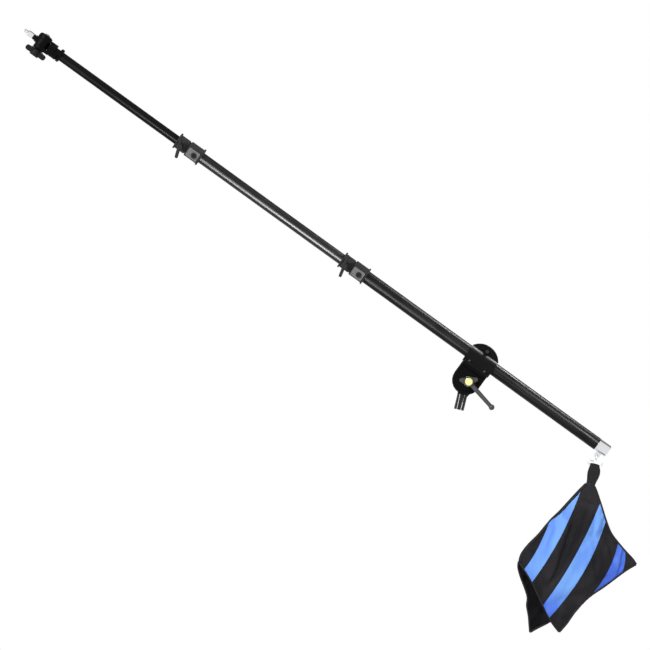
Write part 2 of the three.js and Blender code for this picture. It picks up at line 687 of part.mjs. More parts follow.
// The front web of the cap carries a screw in a boss of its own.
const webScrewPlace = { at: [clampX, 0, TUBE_RISE + WEB_SCREW_RISE], facets: SMALL_FACETS };

function clampCap() {
  const arch = outline([
    ...arc(boomY, TUBE_RISE, capReach, 0, HALF),
    [boomY - capReach, jointZ + GAP],
    [boomY + capReach, jointZ + GAP],
  ]);
  const saddle = prism("yz", arch, clampX - capHalf, clampX + capHalf);
  const flange = prism("xy",
    softBox(clampX - bodyHalf, clampX + bodyHalf, boomY - flangeHalf, boomY + flangeHalf, FLANGE_ROUND),
    jointZ + GAP, capFlangeTopZ);
  const faceY = DOME_THICKNESS / 2;
  const web = prism("xz", domeOutline(0), boomY - faceY, boomY + faceY, DOME_BEVEL);
  const boss = rod("y", BOOM_BOSS_RADIUS, boomY, boomY + capReach + BOOM_BOSS_LENGTH, {
    at: [clampX, 0, TUBE_RISE], facets: SMALL_FACETS,
  });
  const webBossY = boomY - WEB_SCREW_BOSS_LENGTH;
  const webBoss = rod("y", WEB_SCREW_BOSS_RADIUS, webBossY, boomY, webScrewPlace);
  const webHole = rod("y", WEB_SCREW_DIAMETER / 2 + GAP, webBossY - OVERRUN, boomY, webScrewPlace);
  const frontHalf = block(clampX - capHalf, clampX + capHalf, boomY - faceY, boomY,
    TUBE_RISE, TUBE_RISE + DOME_HEIGHT);
  const backHalf = block(clampX - capHalf, clampX + capHalf, boomY, boomY + faceY,
    TUBE_RISE, TUBE_RISE + DOME_HEIGHT);
  const slices = [
    [DOME_RIM, DOME_RIM + DOME_GROOVE],
    [DOME_RIM + DOME_GROOVE + DOME_RIDGE, DOME_RADIUS],
  ];
  const band = ([outer, inner]) => {
    const floorY = boomY - faceY + DOME_GROOVE_DEPTH;
    const whole = prism("xz", domeOutline(outer), boomY - faceY - OVERRUN, floorY);
    if (inner >= capHalf) return whole;
    return cut(whole, prism("xz", domeOutline(inner), boomY - faceY - 2 * OVERRUN, boomY));
  };
  const ribs = Array.from({ length: DOME_RIB_COUNT }, (_, i) => {
    const x = clampX + (i - (DOME_RIB_COUNT - 1) / 2) * DOME_RIB_PITCH;
    return block(x - DOME_RIB_THICKNESS / 2, x + DOME_RIB_THICKNESS / 2, boomY - faceY, boomY,
      TUBE_RISE, TUBE_RISE + DOME_HEIGHT - DOME_RIM - DOME_GROOVE);
  });
  const front = join(cut(web, slices.map(band)), ribs).intersect(frontHalf);
  const back = web.intersect(backHalf);
  const channel = rod("x", channelRadius, clampX - cutHalf, clampX + cutHalf, { at: boomAxis });
  const slot = block(clampX - cutHalf, clampX + cutHalf, boomY - channelRadius,
    boomY + channelRadius, jointZ - OVERRUN, TUBE_RISE);
  const screwHoles = capScrewPlaces.map(([x, y]) => rod("z", CAP_SCREW_DIAMETER / 2 + GAP,
    jointZ, capFlangeTopZ + OVERRUN, { at: [x, y, 0], facets: SMALL_FACETS }));
  const lockHole = rod("y", PAD_RADIUS + GAP, boomY, boomY + capReach + BOOM_BOSS_LENGTH + OVERRUN, {
    at: [clampX, 0, TUBE_RISE], facets: SMALL_FACETS,
  });
  const whole = join(saddle, flange, front, back, boss, webBoss);
  return cut(whole, channel, slot, screwHoles, lockHole, webHole);
}
piece(head, "clamp_cap", "black_metal", clampCap());

const webHeadY = boomY - WEB_SCREW_BOSS_LENGTH - GAP;
const webFaceY = webHeadY - WEB_SCREW_HEAD_LENGTH;
piece(head, "web_screw", "dark_steel", cut(
  join(
    rod("y", WEB_SCREW_DIAMETER / 2, webHeadY - SEAM, boomY - GAP, webScrewPlace),
    rod("y", WEB_SCREW_HEAD_DIAMETER / 2, webFaceY, webHeadY, webScrewPlace),
  ),
  prism("xz", hexagon(CAP_SCREW_SOCKET_ACROSS, clampX, TUBE_RISE + WEB_SCREW_RISE),
    webFaceY - OVERRUN, webFaceY + CAP_SCREW_SOCKET_DEPTH),
));

for (const [i, [x, y]] of capScrewPlaces.entries()) {
  const headTop = capFlangeTopZ + GAP + CAP_SCREW_HEAD_HEIGHT;
  const place = { at: [x, y, 0], facets: SMALL_FACETS };
  const shank = rod("z", CAP_SCREW_DIAMETER / 2, capFlangeTopZ - CAP_SCREW_LENGTH, headTop - SEAM, place);
  const screwHead = rod("z", CAP_SCREW_HEAD_DIAMETER / 2, capFlangeTopZ + GAP, headTop, place);
  const socket = prism("xy", hexagon(CAP_SCREW_SOCKET_ACROSS, x, y), headTop - CAP_SCREW_SOCKET_DEPTH,
    headTop + OVERRUN);
  piece(head, `cap_screw_${i + 1}`, "dark_steel", cut(join(shank, screwHead), socket));
}

// Boom lock: a pad, a screw and a star knob square to the boom, at the back
const padBackY = outerRadius + GAP + PAD_THICKNESS;
const lockPlace = { at: [clampX, boomY, TUBE_RISE], facets: SMALL_FACETS };
piece(head, "boom_pad", "brass", rod("y", PAD_RADIUS, outerRadius + GAP, padBackY, lockPlace));
const boomLock = group(head, "boom_lock", clampX, boomY, TUBE_RISE);
const starFootY = capReach + BOOM_BOSS_LENGTH + STAR_STANDOFF;
const starEndY = starFootY + STAR_NECK_LENGTH + STAR_THICKNESS;
piece(boomLock, "boom_lock_screw", "steel",
  rod("y", PAD_RADIUS, padBackY + GAP, starEndY - STAR_SKIN - GAP, { facets: SMALL_FACETS }));

function starKnob() {
  const mean = STAR_RADIUS - STAR_LOBE_DEPTH;
  const points = Array.from({ length: STAR_LOBES * STAR_LOBE_STEPS }, (_, i) => {
    const angle = (2 * Math.PI * i) / (STAR_LOBES * STAR_LOBE_STEPS);
    const radius = mean + STAR_LOBE_DEPTH * Math.cos(STAR_LOBES * angle);
    return [radius * Math.cos(angle), radius * Math.sin(angle)];
  });
  const grip = prism("xz", outline(points), starFootY + STAR_NECK_LENGTH, starEndY, STAR_BEVEL);
  const neck = rod("y", STAR_NECK_RADIUS, starFootY, starFootY + STAR_NECK_LENGTH + SEAM);
  const bore = rod("y", PAD_RADIUS + GAP, starFootY - OVERRUN, starEndY - STAR_SKIN, {
    facets: SMALL_FACETS,
  });
  return cut(join(grip, neck), bore);
}
piece(boomLock, "boom_lock_knob", "knob_black", starKnob());

// Tilt lever at the front
piece(head, "lever_washer", "steel",
  pipe("y", LEVER_WASHER_RADIUS, pivotBore, leverFootY + GAP, headFrontY - GAP, { facets: MEDIUM_FACETS }));
const lever = group(head, "tilt_lever");
const leverArm = group(lever, "tilt_lever_arm");
leverArm.rotation.y = LEVER_TURN * RADIANS;
const leverEndY = leverFootY - LEVER_HUB_LENGTH;

function leverCasting() {
  const hub = turned("y", [
    [0, leverEndY],
    [LEVER_HUB_RADIUS - LEVER_ROUND, leverEndY],
    [LEVER_HUB_RADIUS, leverEndY + LEVER_ROUND],
    [LEVER_HUB_RADIUS, leverFootY],
    [0, leverFootY],
  ]);
  const ears = LEVER_LOBE_TURNS.map((turn) => {
    const [u, v] = [Math.cos(turn * RADIANS), Math.sin(turn * RADIANS)];
    const ear = outline([
      ...arc(LEVER_LOBE_OFFSET * u, LEVER_LOBE_OFFSET * v, LEVER_LOBE_RADIUS, turn - QUARTER, turn + QUARTER,
        CORNER_STEP),
      [-LEVER_HUB_RADIUS * v, LEVER_HUB_RADIUS * u],
      [LEVER_HUB_RADIUS * v, -LEVER_HUB_RADIUS * u],
    ]);
    return prism("xz", ear, leverFootY - LEVER_COLLAR_LENGTH, leverFootY);
  });
  const axisY = leverFootY - LEVER_ROD_FRONT;
  const arm = rod("x", LEVER_ROD_ROOT_RADIUS, 0, LEVER_REACH, {
    at: [0, axisY, 0], endRadius: LEVER_ROD_END_RADIUS, facets: SMALL_FACETS,
  });
  const ball = solid(new THREE.SphereGeometry(LEVER_BALL_RADIUS, SMALL_FACETS, SMALL_FACETS / 2)
    .translate(LEVER_REACH, axisY, 0));
  const bore = rod("y", pivotBore, pivotFrontY - GAP, leverFootY + OVERRUN, { facets: SMALL_FACETS });
  return cut(join(hub, ears, arm, ball), bore);
}
piece(leverArm, "tilt_lever_casting", "lever_grey", leverCasting());
piece(leverArm, "tilt_lever_cap", "brass", cut(
  turned("y", [
    [0, leverEndY - GAP],
    [LEVER_CAP_RADIUS, leverEndY - GAP],
    [LEVER_CAP_RADIUS, leverEndY - GAP - LEVER_CAP_LENGTH + LEVER_CAP_CHAMFER],
    [LEVER_CAP_RADIUS - LEVER_CAP_CHAMFER, leverEndY - GAP - LEVER_CAP_LENGTH],
    [0, leverEndY - GAP - LEVER_CAP_LENGTH],
  ]),
  rod("y", LEVER_CAP_DIMPLE_RADIUS, leverEndY - GAP - LEVER_CAP_LENGTH - OVERRUN,
    leverEndY - GAP - LEVER_CAP_LENGTH + LEVER_CAP_DIMPLE_DEPTH, { facets: SMALL_FACETS }),
));

// Boom tubes and collars. Each group has the clamp's centre on the boom's axis as its origin.

// Where a collar bolt ends, inside the tube's wall.
const boltReach = (radius, wall) => radius - wall + GAP;
const middleRadius = MIDDLE_DIAMETER / 2;
const innerRadius = INNER_DIAMETER / 2;
const collarHalf = COLLAR_LENGTH / 2;
const knobX = -collarHalf + COLLAR_KNOB_FROM_FLANGE;
const padFromX = collarHalf - COLLAR_BIG_FLANGE_THICKNESS - COLLAR_PAD_LENGTH;
const padToX = padFromX + COLLAR_PAD_LENGTH;
const plateX = (padFromX + padToX) / 2;
const boltX = plateX + COLLAR_BOLT_SHIFT;
const collarScrewRadius = COLLAR_SCREW_DIAMETER / 2;

const outer = group(head, "outer_section", clampX, boomY, TUBE_RISE);
const middle = group(outer, "middle_section");
const inner = group(middle, "inner_section");

function boomTube(radius, wall, from, to, boltStation) {
  const tube = pipe("x", radius, radius - wall, from, to);
  if (boltStation === undefined) return tube;
  const tool = prism("xz", disc(COLLAR_BOLT_DIAMETER / 2 + GAP, boltStation, 0), -radius - OVERRUN, 0);
  return cut(tube, turnTool(tool));
}

// The collar's knob and bolt face partly down, so their holes are turned about the boom's axis.
function turnTool(tool) {
  const { vertProperties, triVerts } = tool.getMesh();
  const geometry = new THREE.BufferGeometry();
  geometry.setAttribute("position", new THREE.BufferAttribute(vertProperties, CORNERS));
  geometry.setIndex(new THREE.BufferAttribute(triVerts, 1));
  return solid(geometry.rotateX(COLLAR_ROLL * RADIANS));
}

const collarBX = -COLLAR_B_DISTANCE;
const collarAX = -COLLAR_A_DISTANCE;
piece(outer, "outer_tube", "black_tube",
  boomTube(outerRadius, OUTER_WALL, collarBX + GAP, OUTER_REACH, collarBX + boltX));
piece(middle, "middle_tube", "black_tube",
  boomTube(middleRadius, MIDDLE_WALL, collarAX + GAP, collarBX + MIDDLE_INSERTED, collarAX + boltX));
const tubeEndX = -TIP_DISTANCE + FORK_RADIUS + FORK_CLEAR + FORK_TUBE_STOP + GAP;
piece(inner, "inner_tube", "black_tube",
  boomTube(innerRadius, INNER_WALL, tubeEndX, collarAX + INNER_INSERTED));

// A guide that plugs a tube's inner end and slides in the next tube.
function guide(tubeRadius, wall, nextBore, endX) {
  const plug = tubeRadius - wall - GAP;
  const slide = nextBore - GAP;
  return turned("x", [
    [plug - GUIDE_WALL, endX - GUIDE_PLUG_LENGTH],
    [plug, endX - GUIDE_PLUG_LENGTH],
    [plug, endX + GAP],
    [slide, endX + GAP],
    [slide, endX + GUIDE_LENGTH - GUIDE_PLUG_LENGTH],
    [plug - GUIDE_WALL, endX + GUIDE_LENGTH - GUIDE_PLUG_LENGTH],
  ], { facets: MEDIUM_FACETS });
}
piece(middle, "middle_guide", "plastic",
  guide(middleRadius, MIDDLE_WALL, outerRadius - OUTER_WALL, collarBX + MIDDLE_INSERTED));
piece(inner, "inner_guide", "plastic",
  guide(innerRadius, INNER_WALL, middleRadius - MIDDLE_WALL, collarAX + INNER_INSERTED));

// The plate on the collar's flat, grown by a clearance for its seat.
function plateOutline(clearance) {
  const halfHeight = COLLAR_PAD_HALF_HEIGHT - PLATE_MARGIN + clearance;
  return softBox(padFromX + PLATE_MARGIN - clearance, padToX - PLATE_MARGIN + clearance,
    -halfHeight, halfHeight, COLLAR_PAD_ROUND);
}

function collarCasting(smallRadius, bigRadius) {
  const profile = [
    [0, -collarHalf],
    [COLLAR_SMALL_FLANGE_RADIUS, -collarHalf],
    [COLLAR_SMALL_FLANGE_RADIUS, -collarHalf + COLLAR_FLANGE_THICKNESS],
    [COLLAR_CLAMP_RADIUS, -collarHalf + COLLAR_FLANGE_THICKNESS],
    [COLLAR_CLAMP_RADIUS, -COLLAR_STEP - COLLAR_SLOT],
    [COLLAR_CLAMP_RADIUS - COLLAR_SLOT_DEPTH, -COLLAR_STEP - COLLAR_SLOT],
    [COLLAR_CLAMP_RADIUS - COLLAR_SLOT_DEPTH, -COLLAR_STEP],
    [COLLAR_FIXED_RADIUS - COLLAR_EDGE, -COLLAR_STEP],
    [COLLAR_FIXED_RADIUS, -COLLAR_STEP + COLLAR_EDGE],
    [COLLAR_FIXED_RADIUS, collarHalf - COLLAR_BIG_FLANGE_THICKNESS],
    [COLLAR_BIG_FLANGE_RADIUS, collarHalf - COLLAR_BIG_FLANGE_THICKNESS],
    [COLLAR_BIG_FLANGE_RADIUS, collarHalf - COLLAR_EDGE],
    [COLLAR_BIG_FLANGE_RADIUS - COLLAR_EDGE, collarHalf],
    [0, collarHalf],
  ];
  const shell = turned("x", profile);
  const knobPlace = { at: [knobX, 0, 0], facets: SMALL_FACETS };
  const boss = rod("y", COLLAR_BOSS_RADIUS, -COLLAR_BOSS_REACH, 0, knobPlace);
  const padShape = softBox(padFromX, padToX, -COLLAR_PAD_HALF_HEIGHT, COLLAR_PAD_HALF_HEIGHT,
    COLLAR_PAD_ROUND);
  const pad = prism("xz", padShape, -COLLAR_PAD_REACH, 0);
  const smallBore = rod("x", smallRadius + GAP, -collarHalf - OVERRUN, OVERRUN);
  const bigBore = rod("x", bigRadius + GAP, 0, collarHalf + OVERRUN);
  const seat = prism("xz", plateOutline(GAP), -COLLAR_PAD_REACH - OVERRUN, -COLLAR_PAD_REACH + PLATE_SINK);
  const boltHole = rod("y", COLLAR_BOLT_DIAMETER / 2 + GAP, -COLLAR_PAD_REACH - OVERRUN, 0, {
    at: [boltX, 0, 0], facets: SMALL_FACETS,
  });
  const screwHole = rod("y", collarScrewRadius + GAP, -COLLAR_BOSS_REACH - OVERRUN, 0, knobPlace);
  const window = block(-COLLAR_STEP - COLLAR_WINDOW_LENGTH, -COLLAR_STEP, -COLLAR_FIXED_RADIUS,
    -COLLAR_WINDOW_FLOOR, -COLLAR_WINDOW_HALF_HEIGHT, COLLAR_WINDOW_HALF_HEIGHT);
  return cut(join(shell, boss, pad), smallBore, bigBore, seat, boltHole, screwHole, window);
}

function addCollar(parent, letter, x, smallRadius, bigRadius, bigWall, wingTurn) {
  const collar = group(parent, `collar_${letter}`, x, 0, 0);
  collar.rotation.x = COLLAR_ROLL * RADIANS;
  piece(collar, `collar_${letter}_casting`, "collar_black", collarCasting(smallRadius, bigRadius));
  const plateFaceY = -COLLAR_PAD_REACH + PLATE_SINK - GAP;
  const plateFrontY = plateFaceY - PLATE_THICKNESS;
  piece(collar, `collar_${letter}_plate`, "steel", cut(
    prism("xz", plateOutline(0), plateFrontY, plateFaceY),
    rod("y", COLLAR_BOLT_DIAMETER / 2 + GAP, plateFrontY - OVERRUN, plateFaceY + OVERRUN, {
      at: [boltX, 0, 0], facets: SMALL_FACETS,
    }),
  ));
  const boltHeadY = plateFrontY - GAP;
  const boltTopY = boltHeadY - COLLAR_BOLT_HEAD_HEIGHT;
  const place = { at: [boltX, 0, 0], facets: SMALL_FACETS };
  piece(collar, `collar_${letter}_bolt`, "dark_steel", cut(
    join(
      rod("y", COLLAR_BOLT_DIAMETER / 2, boltTopY + SEAM, -boltReach(bigRadius, bigWall), place),
      turned("y", [
        [0, boltTopY],
        [COLLAR_BOLT_HEAD_RADIUS - COLLAR_EDGE, boltTopY],
        [COLLAR_BOLT_HEAD_RADIUS, boltTopY + COLLAR_EDGE],
        [COLLAR_BOLT_HEAD_RADIUS, boltHeadY],
        [0, boltHeadY],
      ], place),
    ),
    prism("xz", hexagon(COLLAR_BOLT_SOCKET_ACROSS, boltX, 0), boltTopY - OVERRUN,
      boltTopY + COLLAR_BOLT_SOCKET_DEPTH),
  ));
  const shoeBackY = -smallRadius - GAP - COLLAR_SHOE_THICKNESS;
  const shoePlace = { at: [knobX, 0, 0], facets: SMALL_FACETS };
  piece(collar, `collar_${letter}_shoe`, "brass",
    rod("y", collarScrewRadius, shoeBackY, -smallRadius - GAP, shoePlace));
  const knob = group(collar, `collar_${letter}_lock`, knobX, 0, 0);
  const knobFootY = -COLLAR_BOSS_REACH - WING_STANDOFF;
  const boreLength = WING_HUB_LENGTH * KNOB_BORE_SHARE;
  const screwFromY = knobFootY - boreLength + GAP;
  piece(knob, `collar_${letter}_screw`, "steel",
    rod("y", collarScrewRadius, screwFromY, shoeBackY - GAP, { facets: SMALL_FACETS }));
  const wings = piece(knob, `collar_${letter}_knob`, "knob_black",
    wingKnob(WING_SPAN, WING_HEIGHT, WING_THICKNESS, WING_HUB_RADIUS, WING_HUB_LENGTH,
      collarScrewRadius + GAP));
  wings.position.y = knobFootY;
  wings.rotation.set(Math.PI, wingTurn * RADIANS, 0, "YXZ");
}
addCollar(outer, "b", collarBX, middleRadius, outerRadius, OUTER_WALL, WING_TURN_B);
addCollar(middle, "a", collarAX, innerRadius, middleRadius, MIDDLE_WALL, WING_TURN_A);

// Tip: stop ring, fork, tongue and light stud. The tip's pivot is square to the boom, along Z.

const socketFromX = FORK_RADIUS + FORK_CLEAR;
const socketToX = socketFromX + FORK_SOCKET_LENGTH;
const ringX = socketToX + RING_CLEARANCE + RING_WIDTH / 2 - TIP_DISTANCE;
piece(inner, "stop_ring", "black_metal", cut(
  turned("x", [
    [0, -RING_WIDTH / 2],
    [RING_RADIUS - RING_ROUND, -RING_WIDTH / 2],
    [RING_RADIUS, RING_ROUND - RING_WIDTH / 2],
    [RING_RADIUS, RING_WIDTH / 2 - RING_ROUND],
    [RING_RADIUS - RING_ROUND, RING_WIDTH / 2],
    [0, RING_WIDTH / 2],
  ], { at: [ringX, 0, 0] }),
  rod("x", innerRadius + GAP, ringX - RING_WIDTH, ringX + RING_WIDTH),
));

const tip = group(inner, "tip", -TIP_DISTANCE, 0, 0);
const earInnerZ = TONGUE_THICKNESS / 2 + GAP + TIP_FRICTION_THICKNESS + GAP;
const earTopZ = earInnerZ + FORK_EAR;
const earFootZ = -earInnerZ - FORK_LOWER_EAR;
const tipBore = TIP_BOLT_DIAMETER / 2 + GAP;

function forkCasting() {
  const upperEar = turned("z", [
    [0, earInnerZ],
    [FORK_RADIUS, earInnerZ],
    ...arc(FORK_RADIUS - FORK_EAR_ROUND, earTopZ - FORK_EAR_ROUND, FORK_EAR_ROUND, 0, QUARTER, QUARTER / 2),
    [0, earTopZ],
  ]);
  const lowerEar = turned("z", [
    [0, earFootZ],
    [FORK_LOWER_RADIUS - FORK_EDGE, earFootZ],
    [FORK_LOWER_RADIUS, earFootZ + FORK_EDGE],
    [FORK_LOWER_RADIUS, -earInnerZ],
    [0, -earInnerZ],
  ]);
  const arm = (from, to) => prism("xy",
    softBox(0, socketFromX + FORK_BRIDGE, -FORK_HALF_WIDTH, FORK_HALF_WIDTH, FORK_EDGE), from, to);
  const arms = [arm(earInnerZ, earTopZ - FORK_EAR_ROUND), arm(earFootZ + FORK_EDGE, -earInnerZ)];
  const socket = rod("x", FORK_SOCKET_RADIUS, socketFromX, socketToX);
  const bridge = block(socketFromX, socketFromX + FORK_BRIDGE, -FORK_HALF_WIDTH, FORK_HALF_WIDTH,
    -earInnerZ - SEAM, earInnerZ + SEAM);
  const notch = block(socketToX - FORK_NOTCH_LENGTH, socketToX + OVERRUN, -FORK_SOCKET_RADIUS,
    FORK_SOCKET_RADIUS, 0, FORK_SOCKET_RADIUS);
  const tubeHole = rod("x", innerRadius + GAP, socketFromX + FORK_TUBE_STOP, socketToX + OVERRUN);
  const boltHole = rod("z", tipBore, earFootZ - OVERRUN, earTopZ + OVERRUN, { facets: SMALL_FACETS });
  return cut(join(socket, upperEar, lowerEar, arms, bridge), notch, tubeHole, boltHole);
}
piece(tip, "fork", "black_metal", forkCasting());
for (const [side, name] of [[1, "upper"], [-1, "lower"]]) {
  const faces = [TONGUE_THICKNESS / 2 + GAP, TONGUE_THICKNESS / 2 + GAP + TIP_FRICTION_THICKNESS];
  const [from, to] = faces.map((z) => side * z).sort((a, b) => a - b);
  piece(tip, `tip_friction_${name}`, "fibre",
    pipe("z", TIP_FRICTION_RADIUS, tipBore, from, to, { facets: MEDIUM_FACETS }));
}

const washerTopZ = earFootZ - GAP;
const tipKnobZ = washerTopZ - TIP_WASHER_THICKNESS - GAP;
const tipBoreLength = TIP_HUB_LENGTH * KNOB_BORE_SHARE;
piece(tip, "tip_bolt", "steel", join(
  rod("z", TIP_BOLT_DIAMETER / 2, tipKnobZ - tipBoreLength + GAP, earTopZ + GAP + SEAM, {
    facets: SMALL_FACETS,
  }),
  turned("z", [
    [0, earTopZ + GAP],
    [TIP_BOLT_HEAD_RADIUS, earTopZ + GAP],
    [TIP_BOLT_HEAD_RADIUS * TIP_DOME_SHARE, earTopZ + GAP + TIP_BOLT_HEAD_HEIGHT * TIP_DOME_SHARE],
    [0, earTopZ + GAP + TIP_BOLT_HEAD_HEIGHT],
  ], { facets: SMALL_FACETS }),
));
piece(tip, "tip_washer", "steel",
  pipe("z", TIP_WASHER_RADIUS, tipBore, washerTopZ - TIP_WASHER_THICKNESS, washerTopZ, {
    facets: SMALL_FACETS,
  }));
const tipLock = group(tip, "tip_lock");

// A T-shaped knob: a bar across the foot of a round hub.
function barKnob() {
  const barTopZ = tipKnobZ - GAP;
  const shape = softBox(-TIP_WING_SPAN / 2, TIP_WING_SPAN / 2, barTopZ - TIP_WING_HEIGHT, barTopZ,
    TIP_WING_ROUND);
  const bar = prism("xz", shape, -TIP_WING_THICKNESS / 2, TIP_WING_THICKNESS / 2, FORK_EDGE);
  const hub = rod("z", TIP_HUB_RADIUS, tipKnobZ - TIP_HUB_LENGTH, tipKnobZ);
  const bore = rod("z", tipBore, tipKnobZ - tipBoreLength, tipKnobZ + OVERRUN, { facets: SMALL_FACETS });
  return cut(join(bar, hub), bore);
}
piece(tipLock, "tip_knob", "knob_black", barKnob());

const swivel = group(tip, "stud_swivel");
const studFaceX = -FORK_RADIUS;

function tongue() {
  const body = rod("z", FORK_RADIUS, -TONGUE_THICKNESS / 2, TONGUE_THICKNESS / 2);
  const seat = rod("x", TONGUE_SEAT_RADIUS, studFaceX, 0);
  const hole = rod("z", tipBore, -TONGUE_THICKNESS, TONGUE_THICKNESS, { facets: SMALL_FACETS });
  const tangEndX = studFaceX + STUD_TANG_LENGTH + GAP;
  const tang = rod("x", STUD_TANG_DIAMETER / 2 + GAP, studFaceX - OVERRUN, tangEndX, {
    facets: SMALL_FACETS,
  });
  const flat = block(2 * studFaceX, studFaceX + GAP, -FORK_RADIUS, FORK_RADIUS, -FORK_RADIUS, FORK_RADIUS);
  return cut(join(body, seat), hole, tang, flat);
}
piece(swivel, "tongue", "black_metal", tongue());

const studRadius = STUD_DIAMETER / 2;
const threadRadius = STUD_THREAD_DIAMETER / 2;
const studRootX = studFaceX - STUD_ROOT_LENGTH;
const studWaistX = studRootX - STUD_WAIST_LENGTH;
const studEndX = studFaceX - STUD_LENGTH;
piece(swivel, "light_stud", "chrome", turned("x", [
  [0, studFaceX + STUD_TANG_LENGTH],
  [STUD_TANG_DIAMETER / 2, studFaceX + STUD_TANG_LENGTH],
  [STUD_TANG_DIAMETER / 2, studFaceX],
  [studRadius, studFaceX],
  [studRadius, studRootX],
  [STUD_WAIST_DIAMETER / 2, studRootX - STUD_TAPER],
  [STUD_WAIST_DIAMETER / 2, studWaistX],
  [studRadius, studWaistX - STUD_TAPER],
  [studRadius, studEndX + STUD_TAPER],
  [studRadius - STUD_TAPER, studEndX],
  [threadRadius, studEndX],
  [threadRadius, studEndX - STUD_THREAD_LENGTH + STUD_TAPER],
  [threadRadius - STUD_TAPER, studEndX - STUD_THREAD_LENGTH],
  [0, studEndX - STUD_THREAD_LENGTH],
], { facets: MEDIUM_FACETS }));

// Weight end: a bright cap with a lug

function endCap() {
  const radius = outerRadius - END_CAP_UNDERSIZE;
  const faceX = OUTER_REACH + GAP;
  const endX = faceX + END_CAP_LENGTH;
  const shell = turned("x", [
    [0, faceX - END_CAP_SPIGOT],
    [outerRadius - OUTER_WALL - GAP, faceX - END_CAP_SPIGOT],
    [outerRadius - OUTER_WALL - GAP, faceX],
    [radius, faceX],
    [radius, endX - END_CAP_CHAMFER],
    [radius - END_CAP_CHAMFER, endX],
    [0, endX],
  ]);
  const bore = rod("x", END_CAP_BORE_RADIUS, endX - END_CAP_BORE_DEPTH, endX + OVERRUN);
  const lugX = OUTER_REACH + LUG_DISTANCE;
  const lugRadius = LUG_HOLE_RADIUS + LUG_WEB;
  const shape = outline([
    ...arc(lugX, -LUG_DROP, lugRadius, HALF, CIRCLE, CORNER_STEP),
    [lugX + lugRadius, -END_CAP_BORE_RADIUS - END_CAP_CHAMFER],
    [lugX - lugRadius, -END_CAP_BORE_RADIUS - END_CAP_CHAMFER],
  ]);
  const lug = prism("xz", shape, -LUG_THICKNESS / 2, LUG_THICKNESS / 2);
  const eye = prism("xz", disc(LUG_HOLE_RADIUS, lugX, -LUG_DROP), -LUG_THICKNESS, LUG_THICKNESS);
  return cut(join(cut(shell, bore), lug), eye);
}
piece(outer, "end_cap", "chrome", endCap());

// Hook: hangs plumb from the lug's eye, so its frame is turned back by the boom's tilt

const hook = group(outer, "hook", OUTER_REACH + LUG_DISTANCE, 0, -LUG_DROP);
hook.rotation.y = -BOOM_TILT * RADIANS;
const wireRadius = HOOK_WIRE / 2;
const eyeFootZ = -2 * HOOK_EYE_RADIUS;
const seatZ = -HOOK_SEAT_DROP;

// A path of straight runs with round bends, in the XZ plane.
function bentPath(points, bend) {
  const path = new THREE.CurvePath();
  let from = points[0];
  for (let i = 1; i < points.length - 1; i++) {
    const back = points[i - 1].clone().sub(points[i]).setLength(bend);
    const on = points[i + 1].clone().sub(points[i]).setLength(bend);
    const start = points[i].clone().add(back);
    const end = points[i].clone().add(on);
    path.add(new THREE.LineCurve3(from, start));
    path.add(new THREE.QuadraticBezierCurve3(start, points[i], end));
    from = end;
  }
  path.add(new THREE.LineCurve3(from, points[points.length - 1]));
  return path;
}

function wireHook() {
  const ring = new THREE.TorusGeometry(HOOK_EYE_RADIUS, wireRadius, WIRE_FACETS, SMALL_FACETS);
  ring.rotateY(Math.PI / 2).translate(0, 0, -HOOK_EYE_RADIUS);
  const point = (x, z) => new THREE.Vector3(x, 0, z);
  const path = bentPath([
    point(0, eyeFootZ - wireRadius / 2 + SEAM),
    point(0, eyeFootZ - wireRadius - HOOK_SHOULDER_DROP),
    point(-HOOK_HALF_WIDTH, eyeFootZ - wireRadius - HOOK_SHOULDER_DROP),
    point(-HOOK_HALF_WIDTH, seatZ),
    point(HOOK_HALF_WIDTH, seatZ),
    point(HOOK_HALF_WIDTH, seatZ + HOOK_TIP_RISE),
  ], HOOK_BEND_RADIUS);
  return join(solid(ring), wire(path, wireRadius, HOOK_STEPS));
}
piece(hook, "hook_wire", "chrome", wireHook());

// Weight bag, with the hook's seat as its origin

const bag = group(hook, "weight_bag", 0, 0, seatZ);

function webbingLoop() {
  const hole = wireRadius + GAP;
  const reach = hole + LOOP_THICKNESS;
  const footZ = -LOOP_LENGTH;
  const around = outline([
    ...arc(0, 0, reach, 0, HALF, CORNER_STEP),
    [-LOOP_THICKNESS, footZ + LOOP_FOOT],
    [-LOOP_THICKNESS, footZ],
    [LOOP_THICKNESS, footZ],
    [LOOP_THICKNESS, footZ + LOOP_FOOT],
  ]);
  const inside = outline([...arc(0, 0, hole, 0, HALF, CORNER_STEP), [0, footZ + LOOP_FOOT]]);
  around.holes.push(inside);
  return prism("yz", around, -LOOP_WIDTH / 2, LOOP_WIDTH / 2);
}
piece(bag, "webbing_loop", "webbing", webbingLoop());

// The fold runs from the neck down to the left. Along it, across it and out of it:
const foldFrom = new THREE.Vector2(NECK_X, NECK_Z);
const foldTo = new THREE.Vector2(BULGE_X, BULGE_Z);
const foldAlong = foldTo.clone().sub(foldFrom).normalize();
const foldIn = new THREE.Vector2(-foldAlong.y, foldAlong.x);
const foldLength = foldTo.distanceTo(foldFrom);

// Point on the bag's plane, from a length along the fold and one into the bag.
function bagPoint(along, into) {
  return foldFrom.clone().addScaledVector(foldAlong, along).addScaledVector(foldIn, into);
}

